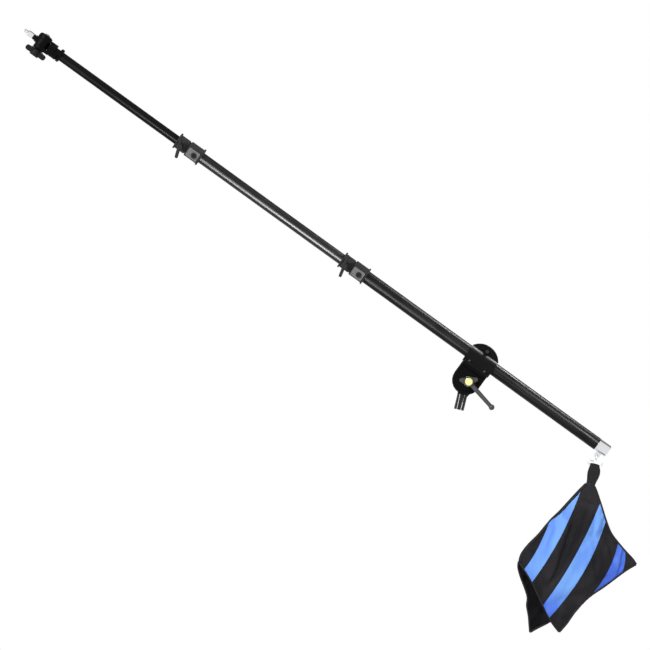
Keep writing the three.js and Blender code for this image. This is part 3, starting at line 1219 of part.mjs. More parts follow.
// The band that goes over the fold and joins both pouches.
function saddleBand() {
  const shape = outline([
    ...arc(0, 0, SADDLE_RADIUS, 0, HALF, CORNER_STEP),
    [-SADDLE_RADIUS, -SADDLE_LEG],
    [-POUCH_SPLIT, -SADDLE_LEG],
    ...arc(0, 0, POUCH_SPLIT, HALF, 0, CORNER_STEP),
    [POUCH_SPLIT, -SADDLE_LEG],
    [SADDLE_RADIUS, -SADDLE_LEG],
  ]);
  const from = foldLength * SADDLE_START_SHARE;
  const to = foldLength * SADDLE_END_SHARE;
  const geometry = new THREE.ExtrudeGeometry(shape, {
    depth: to - from, bevelEnabled: false,
  });
  const out = new THREE.Vector3(-foldIn.x, 0, -foldIn.y);
  const along = new THREE.Vector3(foldAlong.x, 0, foldAlong.y);
  const across = new THREE.Vector3().crossVectors(out, along);
  geometry.applyMatrix4(new THREE.Matrix4().makeBasis(across, out, along));
  const start = bagPoint(from, SADDLE_RADIUS);
  return solid(geometry.translate(start.x, 0, start.y));
}
piece(bag, "saddle_band", "cloth", saddleBand());

// A pouch: a grid of points from the fold (v = 0) to the far edge (v = 1), with a thin rim all round.
// Corners are in the order fold start, fold end, far end, far start.
function pouch(side, corners, fullness, sag, creases) {
  const steps = POUCH_STEPS;
  const [a, b, c, d] = corners.map(([x, z]) => new THREE.Vector2(x, z));
  const spot = (u, v) => {
    const near = a.clone().lerp(b, u);
    const far = d.clone().lerp(c, u);
    const point = near.lerp(far, v);
    const bow = POUCH_BOW * Math.sin(Math.PI * u) * v;
    const waist = POUCH_WAIST * Math.sin(Math.PI * v) * (2 * u - 1);
    return point.addScaledVector(foldIn, bow - waist);
  };
  const fill = (u, v) => {
    const round = (Math.sin(Math.PI * u) * Math.sin(Math.PI * v ** sag)) ** POUCH_EDGE_SHARE;
    const dents = creases.reduce((sum, { from, to, depth, width }) => {
      const centre = from + (to - from) * v;
      return sum + depth * fullness * Math.exp(-(((u - centre) / width) ** 2));
    }, 0);
    const settled = fullness * (1 + POUCH_SETTLE_SHARE * (2 * u - 1));
    return POUCH_RIM + round * Math.max(settled - dents * Math.sin(Math.PI * v), 0);
  };
  const shares = Array.from({ length: steps + 1 }, (_, i) => i / steps);
  const grid = shares.flatMap((v) => shares.map((u) => [u, v]));
  const inside = grid.map(([u, v]) => [spot(u, v), POUCH_SPLIT]);
  const outside = grid.map(([u, v]) => [spot(u, v), POUCH_SPLIT + fill(u, v)]);
  const points = [...inside, ...outside].flatMap(([point, reach]) => [point.x, side * reach, point.y]);
  const row = steps + 1;
  const triangles = [];
  const quad = (p, q, r, s) => triangles.push(p, q, r, p, r, s);
  for (let j = 0; j < steps; j++) {
    for (let i = 0; i < steps; i++) {
      const p = j * row + i;
      quad(p, p + 1, p + row + 1, p + row);
      const o = p + grid.length;
      quad(o, o + row, o + row + 1, o + 1);
    }
  }
  for (let i = 0; i < steps; i++) {
    const over = grid.length;
    const [n, f] = [i, steps * row + i];
    quad(n, n + over, n + over + 1, n + 1);
    quad(f, f + 1, f + over + 1, f + over);
    const [l, r] = [i * row, i * row + steps];
    quad(l, l + row, l + row + over, l + over);
    quad(r, r + over, r + row + over, r + row);
  }
  const geometry = new THREE.BufferGeometry();
  geometry.setAttribute("position", new THREE.Float32BufferAttribute(points, CORNERS));
  geometry.setIndex(triangles);
  return solid(geometry);
}

const pouchTop = (along) => {
  const point = bagPoint(along, SADDLE_RADIUS + SADDLE_LEG + GAP);
  return [point.x, point.y];
};
piece(bag, "front_pouch", "cloth", pouch(-1, [
  pouchTop(0), pouchTop(foldLength), [FRONT_FOOT_X, FRONT_FOOT_Z], [FRONT_SIDE_X, FRONT_SIDE_Z],
], FRONT_FULLNESS, FRONT_SAG_SHARE, FRONT_CREASE_SHARES));
piece(bag, "back_pouch", "cloth", pouch(1, [
  pouchTop(0), pouchTop(foldLength), [BACK_FOOT_X, BACK_FOOT_Z], [BACK_SIDE_X, BACK_SIDE_Z],
], BACK_FULLNESS, BACK_SAG_SHARE, BACK_CREASE_SHARES));

export default root;
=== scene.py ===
"""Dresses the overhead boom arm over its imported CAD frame: finishes for the castings, tubes, collars,
knobs and fasteners, and a sewn saddle bag with blue stripes that hangs from the wire hook.
Everything is in metres, in the frame's own axes: +Z up, +X towards the bag."""

import json
import math

import bmesh
import bpy
import numpy as np
from mathutils import Matrix, Vector


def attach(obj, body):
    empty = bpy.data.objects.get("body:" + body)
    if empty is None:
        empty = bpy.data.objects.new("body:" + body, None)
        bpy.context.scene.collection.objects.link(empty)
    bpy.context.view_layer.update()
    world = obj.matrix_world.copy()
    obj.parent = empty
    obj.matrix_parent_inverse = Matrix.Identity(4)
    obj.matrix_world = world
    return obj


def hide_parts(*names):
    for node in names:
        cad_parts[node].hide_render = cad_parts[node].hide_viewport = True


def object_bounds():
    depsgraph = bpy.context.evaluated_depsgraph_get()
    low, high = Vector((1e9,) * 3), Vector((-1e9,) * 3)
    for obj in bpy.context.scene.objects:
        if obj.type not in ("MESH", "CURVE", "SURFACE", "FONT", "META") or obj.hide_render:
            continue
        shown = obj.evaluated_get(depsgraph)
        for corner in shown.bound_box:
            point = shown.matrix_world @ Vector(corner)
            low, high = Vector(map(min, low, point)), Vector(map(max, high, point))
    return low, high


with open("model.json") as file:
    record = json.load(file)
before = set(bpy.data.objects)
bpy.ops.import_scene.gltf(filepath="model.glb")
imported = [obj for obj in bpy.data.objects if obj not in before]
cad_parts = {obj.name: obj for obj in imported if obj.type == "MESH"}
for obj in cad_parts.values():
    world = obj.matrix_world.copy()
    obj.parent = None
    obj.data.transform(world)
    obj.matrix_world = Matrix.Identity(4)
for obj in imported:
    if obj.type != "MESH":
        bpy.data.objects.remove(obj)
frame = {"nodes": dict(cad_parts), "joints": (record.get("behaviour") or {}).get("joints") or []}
CAD_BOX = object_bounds()

bl_info = {
    "name": "Overhead Boom Arm",
    "version": (1, 0, 0),
    "blender": (4, 5, 0),
    "location": "View3D > Sidebar > Boom Arm",
    "description": "Finishes an overhead boom arm and sews its saddle bag",
    "category": "Object",
}

MM = 0.001
JOINTS = {joint["name"]: joint for joint in frame["joints"]}
HOOK_SEAT = Vector(JOINTS["bag_swing"]["pos_m"])
CLAMP_CENTRE = Vector(JOINTS["boom_lock_turn"]["pos_m"])
TIP_PIVOT = Vector(JOINTS["tip_lock_turn"]["pos_m"])
ALONG_BOOM = Vector(JOINTS["boom_slide"]["axis"]).normalized()
ABOVE_BOOM = Vector(JOINTS["stud_tilt"]["axis"]).normalized()
TOWARDS_VIEWER = Vector((0, -1, 0))


# Sizes and colours that a user would change


class FinishSettings(bpy.types.PropertyGroup):
    """Colours of the arm's finishes"""

    satin_black: bpy.props.FloatVectorProperty(
        name="Satin black", description="Colour of the tubes' black coat",
        subtype="COLOR", default=(0.005, 0.005, 0.0055), min=0, max=1)
    cast_black: bpy.props.FloatVectorProperty(
        name="Casting black", description="Colour of the coat on the castings",
        subtype="COLOR", default=(0.0025, 0.0026, 0.003), min=0, max=1)
    lever_grey: bpy.props.FloatVectorProperty(
        name="Lever grey", description="Colour of the tilt lever's coat",
        subtype="COLOR", default=(0.045, 0.045, 0.047), min=0, max=1)
    cap_gold: bpy.props.FloatVectorProperty(
        name="Cap gold", description="Colour of the bright cap on the lever",
        subtype="COLOR", default=(0.88, 0.83, 0.37), min=0, max=1)
    cloth_black: bpy.props.FloatVectorProperty(
        name="Cloth black", description="Colour of the bag's cloth",
        subtype="COLOR", default=(0.025, 0.023, 0.027), min=0, max=1)
    stripe_blue: bpy.props.FloatVectorProperty(
        name="Stripe blue", description="Colour of the stripes on the front pouch",
        subtype="COLOR", default=(0.185, 0.395, 0.90), min=0, max=1)
    # Painted shade: the stripes turn to this deeper blue at their feet, all along the third stripe and in
    # the cloth's creases
    shaded_blue: bpy.props.FloatVectorProperty(
        name="Deep blue", description="Colour of the stripes near the pouch's lower edges",
        subtype="COLOR", default=(0.075, 0.17, 0.76), min=0, max=1)


class BagSettings(bpy.types.PropertyGroup):
    """Sizes of the saddle bag's sewing"""

    fullness: bpy.props.FloatProperty(
        name="Fullness", description="How far the sand swells each side of a pouch",
        unit="LENGTH", default=0.0145, min=0.002, max=0.04)
    binding_width: bpy.props.FloatProperty(
        name="Binding width", description="Width of the tape that binds a pouch's edges",
        unit="LENGTH", default=0.0055, min=0.002, max=0.02)
    stitch_length: bpy.props.FloatProperty(
        name="Stitch length", description="Length of one stitch in the seams",
        unit="LENGTH", default=0.0042, min=0.001, max=0.01)
    weave_pitch: bpy.props.FloatProperty(
        name="Weave pitch", description="Distance between two threads of the cloth",
        unit="LENGTH", default=0.0009, min=0.0002, max=0.004)


# Node trees: a wire stands for what a socket puts out, so that sums are written as sums


class Wire:
    """What one socket of a node puts out. A sum of wires and numbers adds Math nodes."""

    def __init__(self, socket):
        self.socket = socket
        self.tree = socket.id_data

    def math(self, operation, *others):
        return math_node(self.tree, operation, self, *others)

    def __add__(self, other):
        return math_node(self.tree, "ADD", self, other)

    def __sub__(self, other):
        return math_node(self.tree, "SUBTRACT", self, other)

    def __rsub__(self, other):
        return math_node(self.tree, "SUBTRACT", other, self)

    def __mul__(self, other):
        return math_node(self.tree, "MULTIPLY", self, other)

    def __rtruediv__(self, other):
        return math_node(self.tree, "DIVIDE", other, self)


def fill(socket, value):
    """Joins a wire to a socket, or sets the plain value that it holds."""
    if isinstance(value, Wire):
        value.tree.links.new(value.socket, socket)
    else:
        socket.default_value = value


def math_node(tree, operation, *values):
    node = tree.nodes.new("ShaderNodeMath")
    node.operation = operation
    for socket, value in zip(node.inputs, values):
        fill(socket, value)
    return Wire(node.outputs[0])


def put(tree, kind, inputs=None, **settings):
    """Adds a node, sets what it holds and fills its sockets. Gives its outputs as wires, by name."""
    node = tree.nodes.new(kind)
    for key, value in settings.items():
        setattr(node, key, value)
    for key, value in (inputs or {}).items():
        fill(node.inputs[key], value)
    return {socket.name: Wire(socket) for socket in node.outputs}


def ramp(value, low, high, to_low=0.0, to_high=1.0):
    """A value eased from one range to another."""
    node = value.tree.nodes.new("ShaderNodeMapRange")
    node.interpolation_type = "SMOOTHSTEP"
    for socket, item in zip(node.inputs, (value, low, high, to_low, to_high)):
        fill(socket, item)
    return Wire(node.outputs[0])


def blended(amount, first, second):
    """Two colours mixed by an amount."""
    node = amount.tree.nodes.new("ShaderNodeMix")
    node.data_type = "RGBA"
    sockets = {socket.name: socket for socket in node.inputs if socket.enabled}
    for name, value in (("Factor", amount), ("A", first), ("B", second)):
        fill(sockets[name], value)
    return Wire(next(socket for socket in node.outputs if socket.enabled))


def object_place(tree):
    return put(tree, "ShaderNodeTexCoord")["Object"]


def axes_of(place):
    return put(place.tree, "ShaderNodeSeparateXYZ", {"Vector": place})


def stretched(place, shares):
    return put(place.tree, "ShaderNodeVectorMath", {0: place, 1: shares}, operation="MULTIPLY")["Vector"]


def turned(place, axis, angle):
    return put(place.tree, "ShaderNodeVectorRotate", {"Vector": place, "Axis": axis, "Angle": angle},
               rotation_type="AXIS_ANGLE")["Vector"]


def noise(place, scale, detail, **more):
    inputs = {"Vector": place, "Scale": scale, "Detail": detail, **more}
    return put(place.tree, "ShaderNodeTexNoise", inputs)["Fac"]


def rgba(colour):
    return (*colour[:3], 1.0)


def make_group(name, inputs, outputs):
    """A shader node group with named sockets: its tree, its inputs as wires and the sockets to fill."""
    tree = bpy.data.node_groups.new(name, "ShaderNodeTree")
    for label, default in inputs.items():
        kind = "NodeSocketColor" if isinstance(default, tuple) else "NodeSocketFloat"
        socket = tree.interface.new_socket(label, in_out="INPUT", socket_type=kind)
        socket.default_value = default
    for label in outputs:
        kind = "NodeSocketColor" if label == "Colour" else "NodeSocketFloat"
        tree.interface.new_socket(label, in_out="OUTPUT", socket_type=kind)
    return tree, put(tree, "NodeGroupInput"), tree.nodes.new("NodeGroupOutput").inputs


def use_group(tree, name, **inputs):
    """Places a shared effect in a material. Its inputs are named with _ for each space."""
    node = tree.nodes.new("ShaderNodeGroup")
    node.node_tree = bpy.data.node_groups[name]
    for key, value in inputs.items():
        fill(node.inputs[key.replace("_", " ").capitalize()], value)
    return {socket.name: Wire(socket) for socket in node.outputs}


# Effects that several finishes share


def make_grain():
    """Fine bumps of a cast, moulded or coated skin, and a slow unevenness over it."""
    tree, given, result = make_group("Coat grain", {"Grain size": 0.0008, "Patch size": 0.03},
                                     ["Height", "Patches"])
    place = object_place(tree)
    fill(result["Height"], noise(place, 1.0 / given["Grain size"], 2.0))
    fill(result["Patches"], ramp(noise(place, 1.0 / given["Patch size"], 3.0, Roughness=0.6), 0.3, 0.7))


def make_wear():
    """Scuffs and short scratches where a finish has been handled."""
    tree, given, result = make_group(
        "Handling wear",
        {"Finish": (0, 0, 0, 1), "Bare": (0.2, 0.2, 0.2, 1), "Amount": 0.3, "Mark size": 0.012},
        ["Colour", "Marks"],
    )
    place = object_place(tree)
    scale = 1.0 / given["Mark size"]
    scuffs = noise(place, scale, 6.0, Roughness=0.72)
    drawn = stretched(turned(place, (0.3, 0.9, 0.2), 0.7), (1.0, 9.0, 9.0))
    scratches = noise(drawn, scale, 3.0, Distortion=0.6)
    reach = given["Amount"] * 0.22
    marks = ramp(scuffs, 0.78 - reach, 0.90 - reach)
    marks = marks.math("MAXIMUM", ramp(scratches, 0.76 - reach, 0.83 - reach))
    fill(result["Colour"], blended(marks, given["Finish"], given["Bare"]))
    fill(result["Marks"], marks)


def make_dust():
    """Pale dust that has settled on faces that look up."""
    tree, given, result = make_group(
        "Settled dust",
        {"Colour": (0, 0, 0, 1), "Dust": (0.22, 0.21, 0.19, 1), "Amount": 0.2},
        ["Colour"],
    )
    coordinates = put(tree, "ShaderNodeTexCoord")
    specks = noise(coordinates["Object"], 140.0, 5.0, Roughness=0.7)
    lying = ramp(axes_of(coordinates["Normal"])["Z"], 0.25, 1.0) * ramp(specks, 0.35, 0.75)
    fill(result["Colour"], blended(lying * given["Amount"], given["Colour"], given["Dust"]))


def make_weave():
    """Plain weave in the XZ plane, its threads turned by an angle."""
    tree, given, result = make_group("Plain weave", {"Pitch": 0.0009, "Angle": 0.0},
                                     ["Height", "Thread shade"])
    place = turned(object_place(tree), (0, 1, 0), given["Angle"])
    axes = axes_of(place)
    step = math.pi / given["Pitch"]
    warp = (axes["X"] * step).math("SINE")
    weft = (axes["Z"] * step).math("SINE")
    over = (warp * weft).math("GREATER_THAN", 0.0)
    fill(result["Height"], warp.math("ABSOLUTE") * over + weft.math("ABSOLUTE") * (1.0 - over))
    fill(result["Thread shade"], noise(stretched(place, (900.0, 40.0, 60.0)), 1.0, 2.0))


def make_crumple():
    """Narrow creases and soft hollows that run down a cloth, as it was pressed and shaken out."""
    tree, given, result = make_group("Cloth crumple", {"Size": 0.05}, ["Height"])
    pulled = stretched(object_place(tree), (1.0, 1.0, 0.36))
    scale = 1.0 / given["Size"]
    bends = noise(pulled, scale, 2.0, Roughness=0.45, Distortion=0.35)
    hollows = noise(pulled, scale * 0.55, 1.0)
    creases = ramp((bends - 0.5).math("ABSOLUTE"), 0.0, 0.15)
    fill(result["Height"], creases * 0.4 + ramp(hollows, 0.3, 0.7) * 0.6)


def make_stripe():
    """A stripe between two bowed edges, each given by its place at the middle, its slope and its bow."""
    edges = ["Left", "Left slope", "Left bow", "Right", "Right slope", "Right bow"]
    tree, given, result = make_group(
        "Cloth stripe",
        {"Seat x": 0.0, "Seat z": 0.0, "Angle": 1.2, "Drop": 0.25, **dict.fromkeys(edges, 0.0)},
        ["Stripe", "Along"],
    )
    place = object_place(tree)
    axes = axes_of(place)
    x, z = axes["X"] - given["Seat x"], axes["Z"] - given["Seat z"]
    cosine, sine = given["Angle"].math("COSINE"), given["Angle"].math("SINE")
    down = x * cosine + z * sine + given["Drop"]
    fray = (noise(place, 260.0, 2.0) - 0.5) * 0.0012
    across = x * sine - z * cosine + fray
    sides = []
    for edge, turn in (("Left", 1.0), ("Right", -1.0)):
        line = down * down * given[f"{edge} bow"] + down * given[f"{edge} slope"] + given[edge]
        sides.append(ramp((across - line) * turn, -0.0005, 0.0005))
    fill(result["Stripe"], sides[0] * sides[1])
    fill(result["Along"], down)


EFFECTS = {
    "Coat grain": make_grain,
    "Handling wear": make_wear,
    "Settled dust": make_dust,
    "Plain weave": make_weave,
    "Cloth crumple": make_crumple,
    "Cloth stripe": make_stripe,
}


def prepare_effects():
    """Builds each shared effect once."""
    for name, make in EFFECTS.items():
        if name not in bpy.data.node_groups:
            make()


# Finishes


def start_material(name):
    """A new material with its shader, once the shared effects are there."""
    prepare_effects()
    material = bpy.data.materials.new(name)
    material.use_nodes = True
    return material, material.node_tree, material.node_tree.nodes["Principled BSDF"]


def set_shader(shader, **values):
    """Fills the shader's own sockets, named with _ for each space."""
    sockets = {socket.name.lower(): socket for socket in shader.inputs}
    for key, value in values.items():
        fill(sockets[key.replace("_", " ")], value)


def bumped(height, strength, distance):
    return put(height.tree, "ShaderNodeBump",
               {"Height": height, "Strength": strength, "Distance": distance})["Normal"]


def painted(tree, finish, bare, wear, mark=0.012, dust=0.0):
    """The colour of a finish with its marks and dust, and the mask of the marks."""
    worn = use_group(tree, "Handling wear", finish=rgba(finish), bare=rgba(bare), amount=wear,
                     mark_size=mark)
    colour = dusted(worn["Colour"], dust) if dust else worn["Colour"]
    return colour, worn["Marks"]


def dusted(colour, amount):
    return use_group(colour.tree, "Settled dust", colour=colour, amount=amount)["Colour"]


def coated(name, colour, bare, roughness, grain, bump, wear=0.3, dust=0.2, sheen=0.5):
    """A painted, anodised or moulded skin: grain, uneven gloss, marks of handling and a little dust.
    Grain and bump are the size and the height of its fine bumps."""
    material, tree, shader = start_material(name)
    skin = use_group(tree, "Coat grain", grain_size=grain, patch_size=0.03)
    shown, marks = painted(tree, colour, bare, wear, dust=dust)
    uneven = ramp(skin["Patches"], 0.0, 1.0, roughness * 0.85, roughness * 1.15)
    set_shader(shader, base_color=shown, roughness=uneven + marks * 0.12, specular_ior_level=sheen,
               normal=bumped(skin["Height"], 0.35, bump))
    return material


def bare_metal(name, colour, roughness, drawn=0.06, mark=0.01, stain=0.25):
    """Plated or bare metal with fine tool lines, small stains and uneven gloss."""
    material, tree, shader = start_material(name)
    skin = use_group(tree, "Coat grain", grain_size=0.0012, patch_size=0.02)
    shown, _ = painted(tree, colour, [c * 0.62 for c in colour], stain, mark)
    set_shader(shader, base_color=shown, metallic=1.0, normal=bumped(skin["Height"], 0.15, 0.00005),
               roughness=ramp(skin["Patches"], 0.0, 1.0, roughness, roughness + drawn))
    return material


def tube_finish(settings, name, sheen):
    """Satin black tube with faint lines along the boom, as it was drawn and as it slides."""
    material, tree, shader = start_material(name)
    level = turned(object_place(tree), (0, 1, 0), math.atan2(ALONG_BOOM.z, ALONG_BOOM.x))
    lines = noise(stretched(level, (3.0, 700.0, 700.0)), 1.0, 3.0)
    skin = use_group(tree, "Coat grain", grain_size=0.0005, patch_size=0.09)
    shown, _ = painted(tree, settings.satin_black, (0.05, 0.05, 0.052), 0.25, 0.02, dust=0.10)
    gloss = ramp(skin["Patches"], 0.0, 1.0, 0.27, 0.36) + lines * 0.06
    set_shader(shader, base_color=shown, roughness=gloss, specular_ior_level=sheen,
               normal=bumped(lines, 0.03, 0.00002))
    return material


def dress(names, material, edge):
    """Gives CAD nodes a finish, soft edges of a given width and smooth shading between them."""
    for name in names:
        node = frame["nodes"][name]
        for place in node.material_slots:
            place.material = material
        weld = node.modifiers.new("weld", "WELD")
        weld.merge_threshold = 0.00001
        bevel = node.modifiers.new("soft edges", "BEVEL")
        bevel.limit_method = "ANGLE"
        bevel.angle_limit = math.radians(32)
        bevel.width = edge
        bevel.segments = 2
        bevel.miter_outer = "MITER_ARC"
        normals = node.modifiers.new("shading", "WEIGHTED_NORMAL")
        normals.keep_sharp = False
        normals.weight = 60


# Shapes that several pieces share


def link(obj):
    bpy.context.scene.collection.objects.link(obj)
    return obj


def new_piece(name, vertices, faces, material, smooth=True):
    mesh = bpy.data.meshes.new(name)
    mesh.from_pydata([tuple(v) for v in vertices], [], faces)
    mesh.update()
    if smooth:
        mesh.polygons.foreach_set("use_smooth", [True] * len(mesh.polygons))
    mesh.materials.append(material)
    return link(bpy.data.objects.new(name, mesh))


def face_outwards(piece, merge=0.0):
    """Joins points that lie together and turns every face of a closed piece outwards."""
    mesh = bmesh.new()
    mesh.from_mesh(piece.data)
    if merge:
        bmesh.ops.remove_doubles(mesh, verts=mesh.verts, dist=merge)
    bmesh.ops.recalc_face_normals(mesh, faces=mesh.faces)
    if mesh.calc_volume(signed=True) < 0:
        bmesh.ops.reverse_faces(mesh, faces=mesh.faces)
    mesh.to_mesh(piece.data)
    mesh.free()


def ring_faces(count, ring, base=0, closed=False):
    """Faces between rings of points that follow each other. Open ones get a face over each end."""
    faces = []
    for i in range(count if closed else count - 1):
        j = (i + 1) % count
        for k in range(ring):
            m = (k + 1) % ring
            corners = (i * ring + k, j * ring + k, j * ring + m, i * ring + m)
            faces.append(tuple(base + corner for corner in corners))
    if not closed:
        last = base + (count - 1) * ring
        faces += [tuple(range(base, base + ring)), tuple(range(last, last + ring))[::-1]]
    return faces


def swept(name, points, section, material):
    """A closed solid drawn along a line of points, from a section of (side, height) pairs in metres."""
    vertices = []
    for before, point, after in zip([points[0], *points], points, [*points[1:], points[-1]]):
        tangent = (after - before).normalized()
        side = tangent.cross(TOWARDS_VIEWER).normalized()
        height = side.cross(tangent).normalized()
        vertices += [point + side * s + height * h for s, h in section]
    return new_piece(name, vertices, ring_faces(len(points), len(section)), material)


def round_section(width, height, steps):
    turns = [2 * math.pi * i / steps for i in range(steps)]
    return [(width / 2 * math.cos(t), height / 2 * math.sin(t)) for t in turns]


# The share of a stitch's length and of its thickness at each of its rings
STITCH_SHARES = ((0.0, 0.35), (0.2, 0.9), (0.8, 0.9), (1.0, 0.35))
STITCH_RISE_SHARE = 0.3
STITCH_CLEARANCE = 0.0002


def stitch_row(name, line, length, gap, width, material, lift):
    """One object with a short raised thread for each stitch on a line."""
    section = round_section(width, width, 6)
    total = sum((b - a).length for a, b in zip(line, line[1:]))
    vertices, faces = [], []

    def spot(distance):
        for a, b in zip(line, line[1:]):
            part = (b - a).length
            if distance <= part:
                return a.lerp(b, distance / part)
            distance -= part
        return line[-1]

    for n in range(int(total / (length + gap))):
        first = spot(n * (length + gap) + gap / 2)
        last = spot(n * (length + gap) + gap / 2 + length)
        tangent = (last - first).normalized()
        side = tangent.cross(lift).normalized()
        out = side.cross(tangent).normalized()
        faces += ring_faces(len(STITCH_SHARES), len(section), base=len(vertices))
        for share, size in STITCH_SHARES:
            rise = STITCH_CLEARANCE + width * STITCH_RISE_SHARE * size
            centre = first.lerp(last, share) + lift * rise
            vertices += [centre + side * s * size + out * h * size for s, h in section]
    return new_piece(name, vertices, faces, material)


def finish_soft(piece):
    smooth = piece.modifiers.new("smooth cloth", "SUBSURF")
    smooth.levels = smooth.render_levels = 1


# The bag's outline from the hook's seat, in millimetres, as its cloth hangs: x along the boom's side
# and z up. The fold is the upper left edge, which both pouches share.

FOLD_EDGE = [(-9, -47), (-24, -71), (-43, -105), (-62, -140), (-82, -172), (-103, -215), (-124, -250),
             (-136, -280), (-136, -300)]
FRONT_SIDE = [(-9, -47), (12, -54), (37, -91), (63, -134), (84, -164), (106, -183), (135, -204),
              (158, -219), (171, -231)]
FRONT_FOOT = [(-136, -300), (-112, -322), (-85, -349), (-47, -396), (-14, -434), (14, -457)]
FRONT_HEM = [(171, -231), (145, -257), (103, -308), (68, -348), (43, -392), (28, -430), (14, -457)]
BACK_FOOT = [(-136, -300), (-133, -316), (-121, -338), (-103, -364), (-89, -388), (-85, -411),
             (-74, -436), (-67, -457), (-60, -478)]
BACK_SIDE = [(-9, -47), (10, -54), (28, -91), (45, -134), (60, -175), (72, -215), (84, -262)]
BACK_HEM = [(84, -262), (50, -340), (15, -405), (-20, -442), (-42, -461), (-60, -478)]

# Folds that the cloth falls into: points from the hook's seat, depth and half width
FRONT_FOLDS = [
    ([(-4, -58), (-12, -100), (-16, -152), (-23, -217), (-32, -310), (-40, -352)], 6.0, 5),
    ([(4, -62), (9, -110), (10, -165), (5, -225)], 4.0, 6),
    ([(50, -205), (58, -234), (67, -265), (74, -298)], 5.0, 5),
    ([(26, -110), (36, -150), (38, -190)], 3.0, 6),
    ([(-45, -165), (-60, -215), (-84, -270), (-100, -300)], 2.2, 8),
    ([(20, -290), (2, -345), (-8, -395)], 2.4, 9),
    ([(90, -200), (112, -235), (128, -252)], 2.0, 7),
    ([(62, -160), (88, -200), (100, -226)], 1.6, 6),
]
BACK_FOLDS = [
    ([(-105, -300), (-104, -345), (-84, -400), (-66, -445)], 3.0, 6),
    ([(-70, -260), (-66, -330), (-50, -400), (-38, -440)], 3.5, 8),
    ([(10, -110), (18, -180), (14, -260), (-6, -340)], 4.0, 9),
    ([(-20, -150), (-24, -230), (-22, -320)], 3.0, 8),
]

# Which way each pouch faces, then its three free edges and its folds
POUCHES = {
    "front": (-1, FRONT_SIDE, FRONT_FOOT, FRONT_HEM, FRONT_FOLDS),
    "back": (1, BACK_SIDE, BACK_FOOT, BACK_HEM, BACK_FOLDS),
}

# Each stripe's left edge, then its right: how far across it lies at the middle of its length in
# millimetres, its slope, and its bow for each millimetre. The last number is the share of painted
# shade that deepens its blue away from its foot.
STRIPES = [
    (-22.9, -0.0633, -0.00104, 15.5, 0.0070, -0.00051, 0.0),
    (74.0, -0.0016, -0.00039, 115.0, -0.0142, -0.00074, 0.0),
    (171.0, 0.0231, -0.00154, 204.5, 0.2412, -0.00500, 1.0),
]
STRIPE_TURN = math.radians(74)
STRIPE_DROP = 250
# Painted shade on the stripes: where along a stripe the shade at its foot fades out, its share at the
# foot, and the crumple height below which the creases deepen the blue
STRIPE_FOOT = (-0.145, -0.055)
STRIPE_FOOT_SHADE = 0.85
MEAN_CRUMPLE = 0.52
# Painted shade: the back pouch and the saddle wear a darker copy of the front pouch's cloth
UNSTRIPED_PAINTED_SHADE = 0.45


def striped(settings, cloth, crumple):
    """The cloth's colour under its blue stripes, with painted shade that deepens their blue at their feet
    and in the creases.
    """
    for left, left_slope, left_bow, right, right_slope, right_bow, depth in STRIPES:
        stripe = use_group(
            cloth.tree, "Cloth stripe", seat_x=HOOK_SEAT.x, seat_z=HOOK_SEAT.z, angle=STRIPE_TURN,
            drop=STRIPE_DROP * MM, left=left * MM, left_slope=left_slope, left_bow=left_bow / MM,
            right=right * MM, right_slope=right_slope, right_bow=right_bow / MM,
        )
        # Painted shade: the blue deepens towards the stripe's foot, all along the third stripe, and where
        # the crumple lies low in the creases
        deep = ramp(stripe["Along"], *STRIPE_FOOT, STRIPE_FOOT_SHADE, depth) + (MEAN_CRUMPLE - crumple)
        blue = blended(deep, rgba(settings.stripe_blue), rgba(settings.shaded_blue))
        cloth = blended(stripe["Stripe"], cloth, blue)
    return cloth


def bag_cloth(settings, bag, name, has_stripes):
    """Heavy woven cloth, with the printed stripes on the front pouch."""
    material, tree, shader = start_material(name)
    weave = use_group(tree, "Plain weave", pitch=bag.weave_pitch, angle=0.27)
    skin = use_group(tree, "Coat grain", grain_size=0.004, patch_size=0.05)
    crumple = use_group(tree, "Cloth crumple", size=0.06)["Height"]
    # Painted shade: cloth without stripes is made darker by this share
    shade = 1.0 if has_stripes else UNSTRIPED_PAINTED_SHADE
    light, dark, crease_shade_black = (rgba([c * shade * share for c in settings.cloth_black])
                            for share in (1.0, 0.72, 0.72 * 0.6))
    cloth = blended(weave["Thread shade"], dark, light)
    # Painted shade: the cloth turns to its darkest tone in the creases and hollows of the crumple
    cloth = blended(ramp(crumple, 0.2, 0.85), crease_shade_black, cloth)
    if has_stripes:
        cloth = striped(settings, cloth, crumple)
    threads = weave["Height"] * 0.014 + skin["Height"] * 0.018
    set_shader(shader, base_color=dusted(cloth, 0.25), specular_ior_level=0.15 if has_stripes else 0.06,
               roughness=ramp(skin["Patches"], 0.0, 1.0, 0.68, 0.85),
               normal=bumped(threads + crumple, 1.0, 0.009))
    return material


def webbing_finish():
    """Black strap webbing with a herringbone of heavy threads."""
    material, tree, shader = start_material("strap_webbing")
    weave = use_group(tree, "Plain weave", pitch=0.0018, angle=0.6)
    shown, _ = painted(tree, (0.016, 0.016, 0.017), (0.07, 0.07, 0.07), 0.4, 0.004, dust=0.2)
    set_shader(shader, base_color=shown, roughness=0.8, specular_ior_level=0.2,
               normal=bumped(weave["Height"], 0.8, 0.0005))
    return material


def bag_place(x, depth, z):
    """A point of the bag, from millimetres off the hook's seat. Depth grows away from the viewer."""
    return HOOK_SEAT + Vector((x, depth, z)) * MM


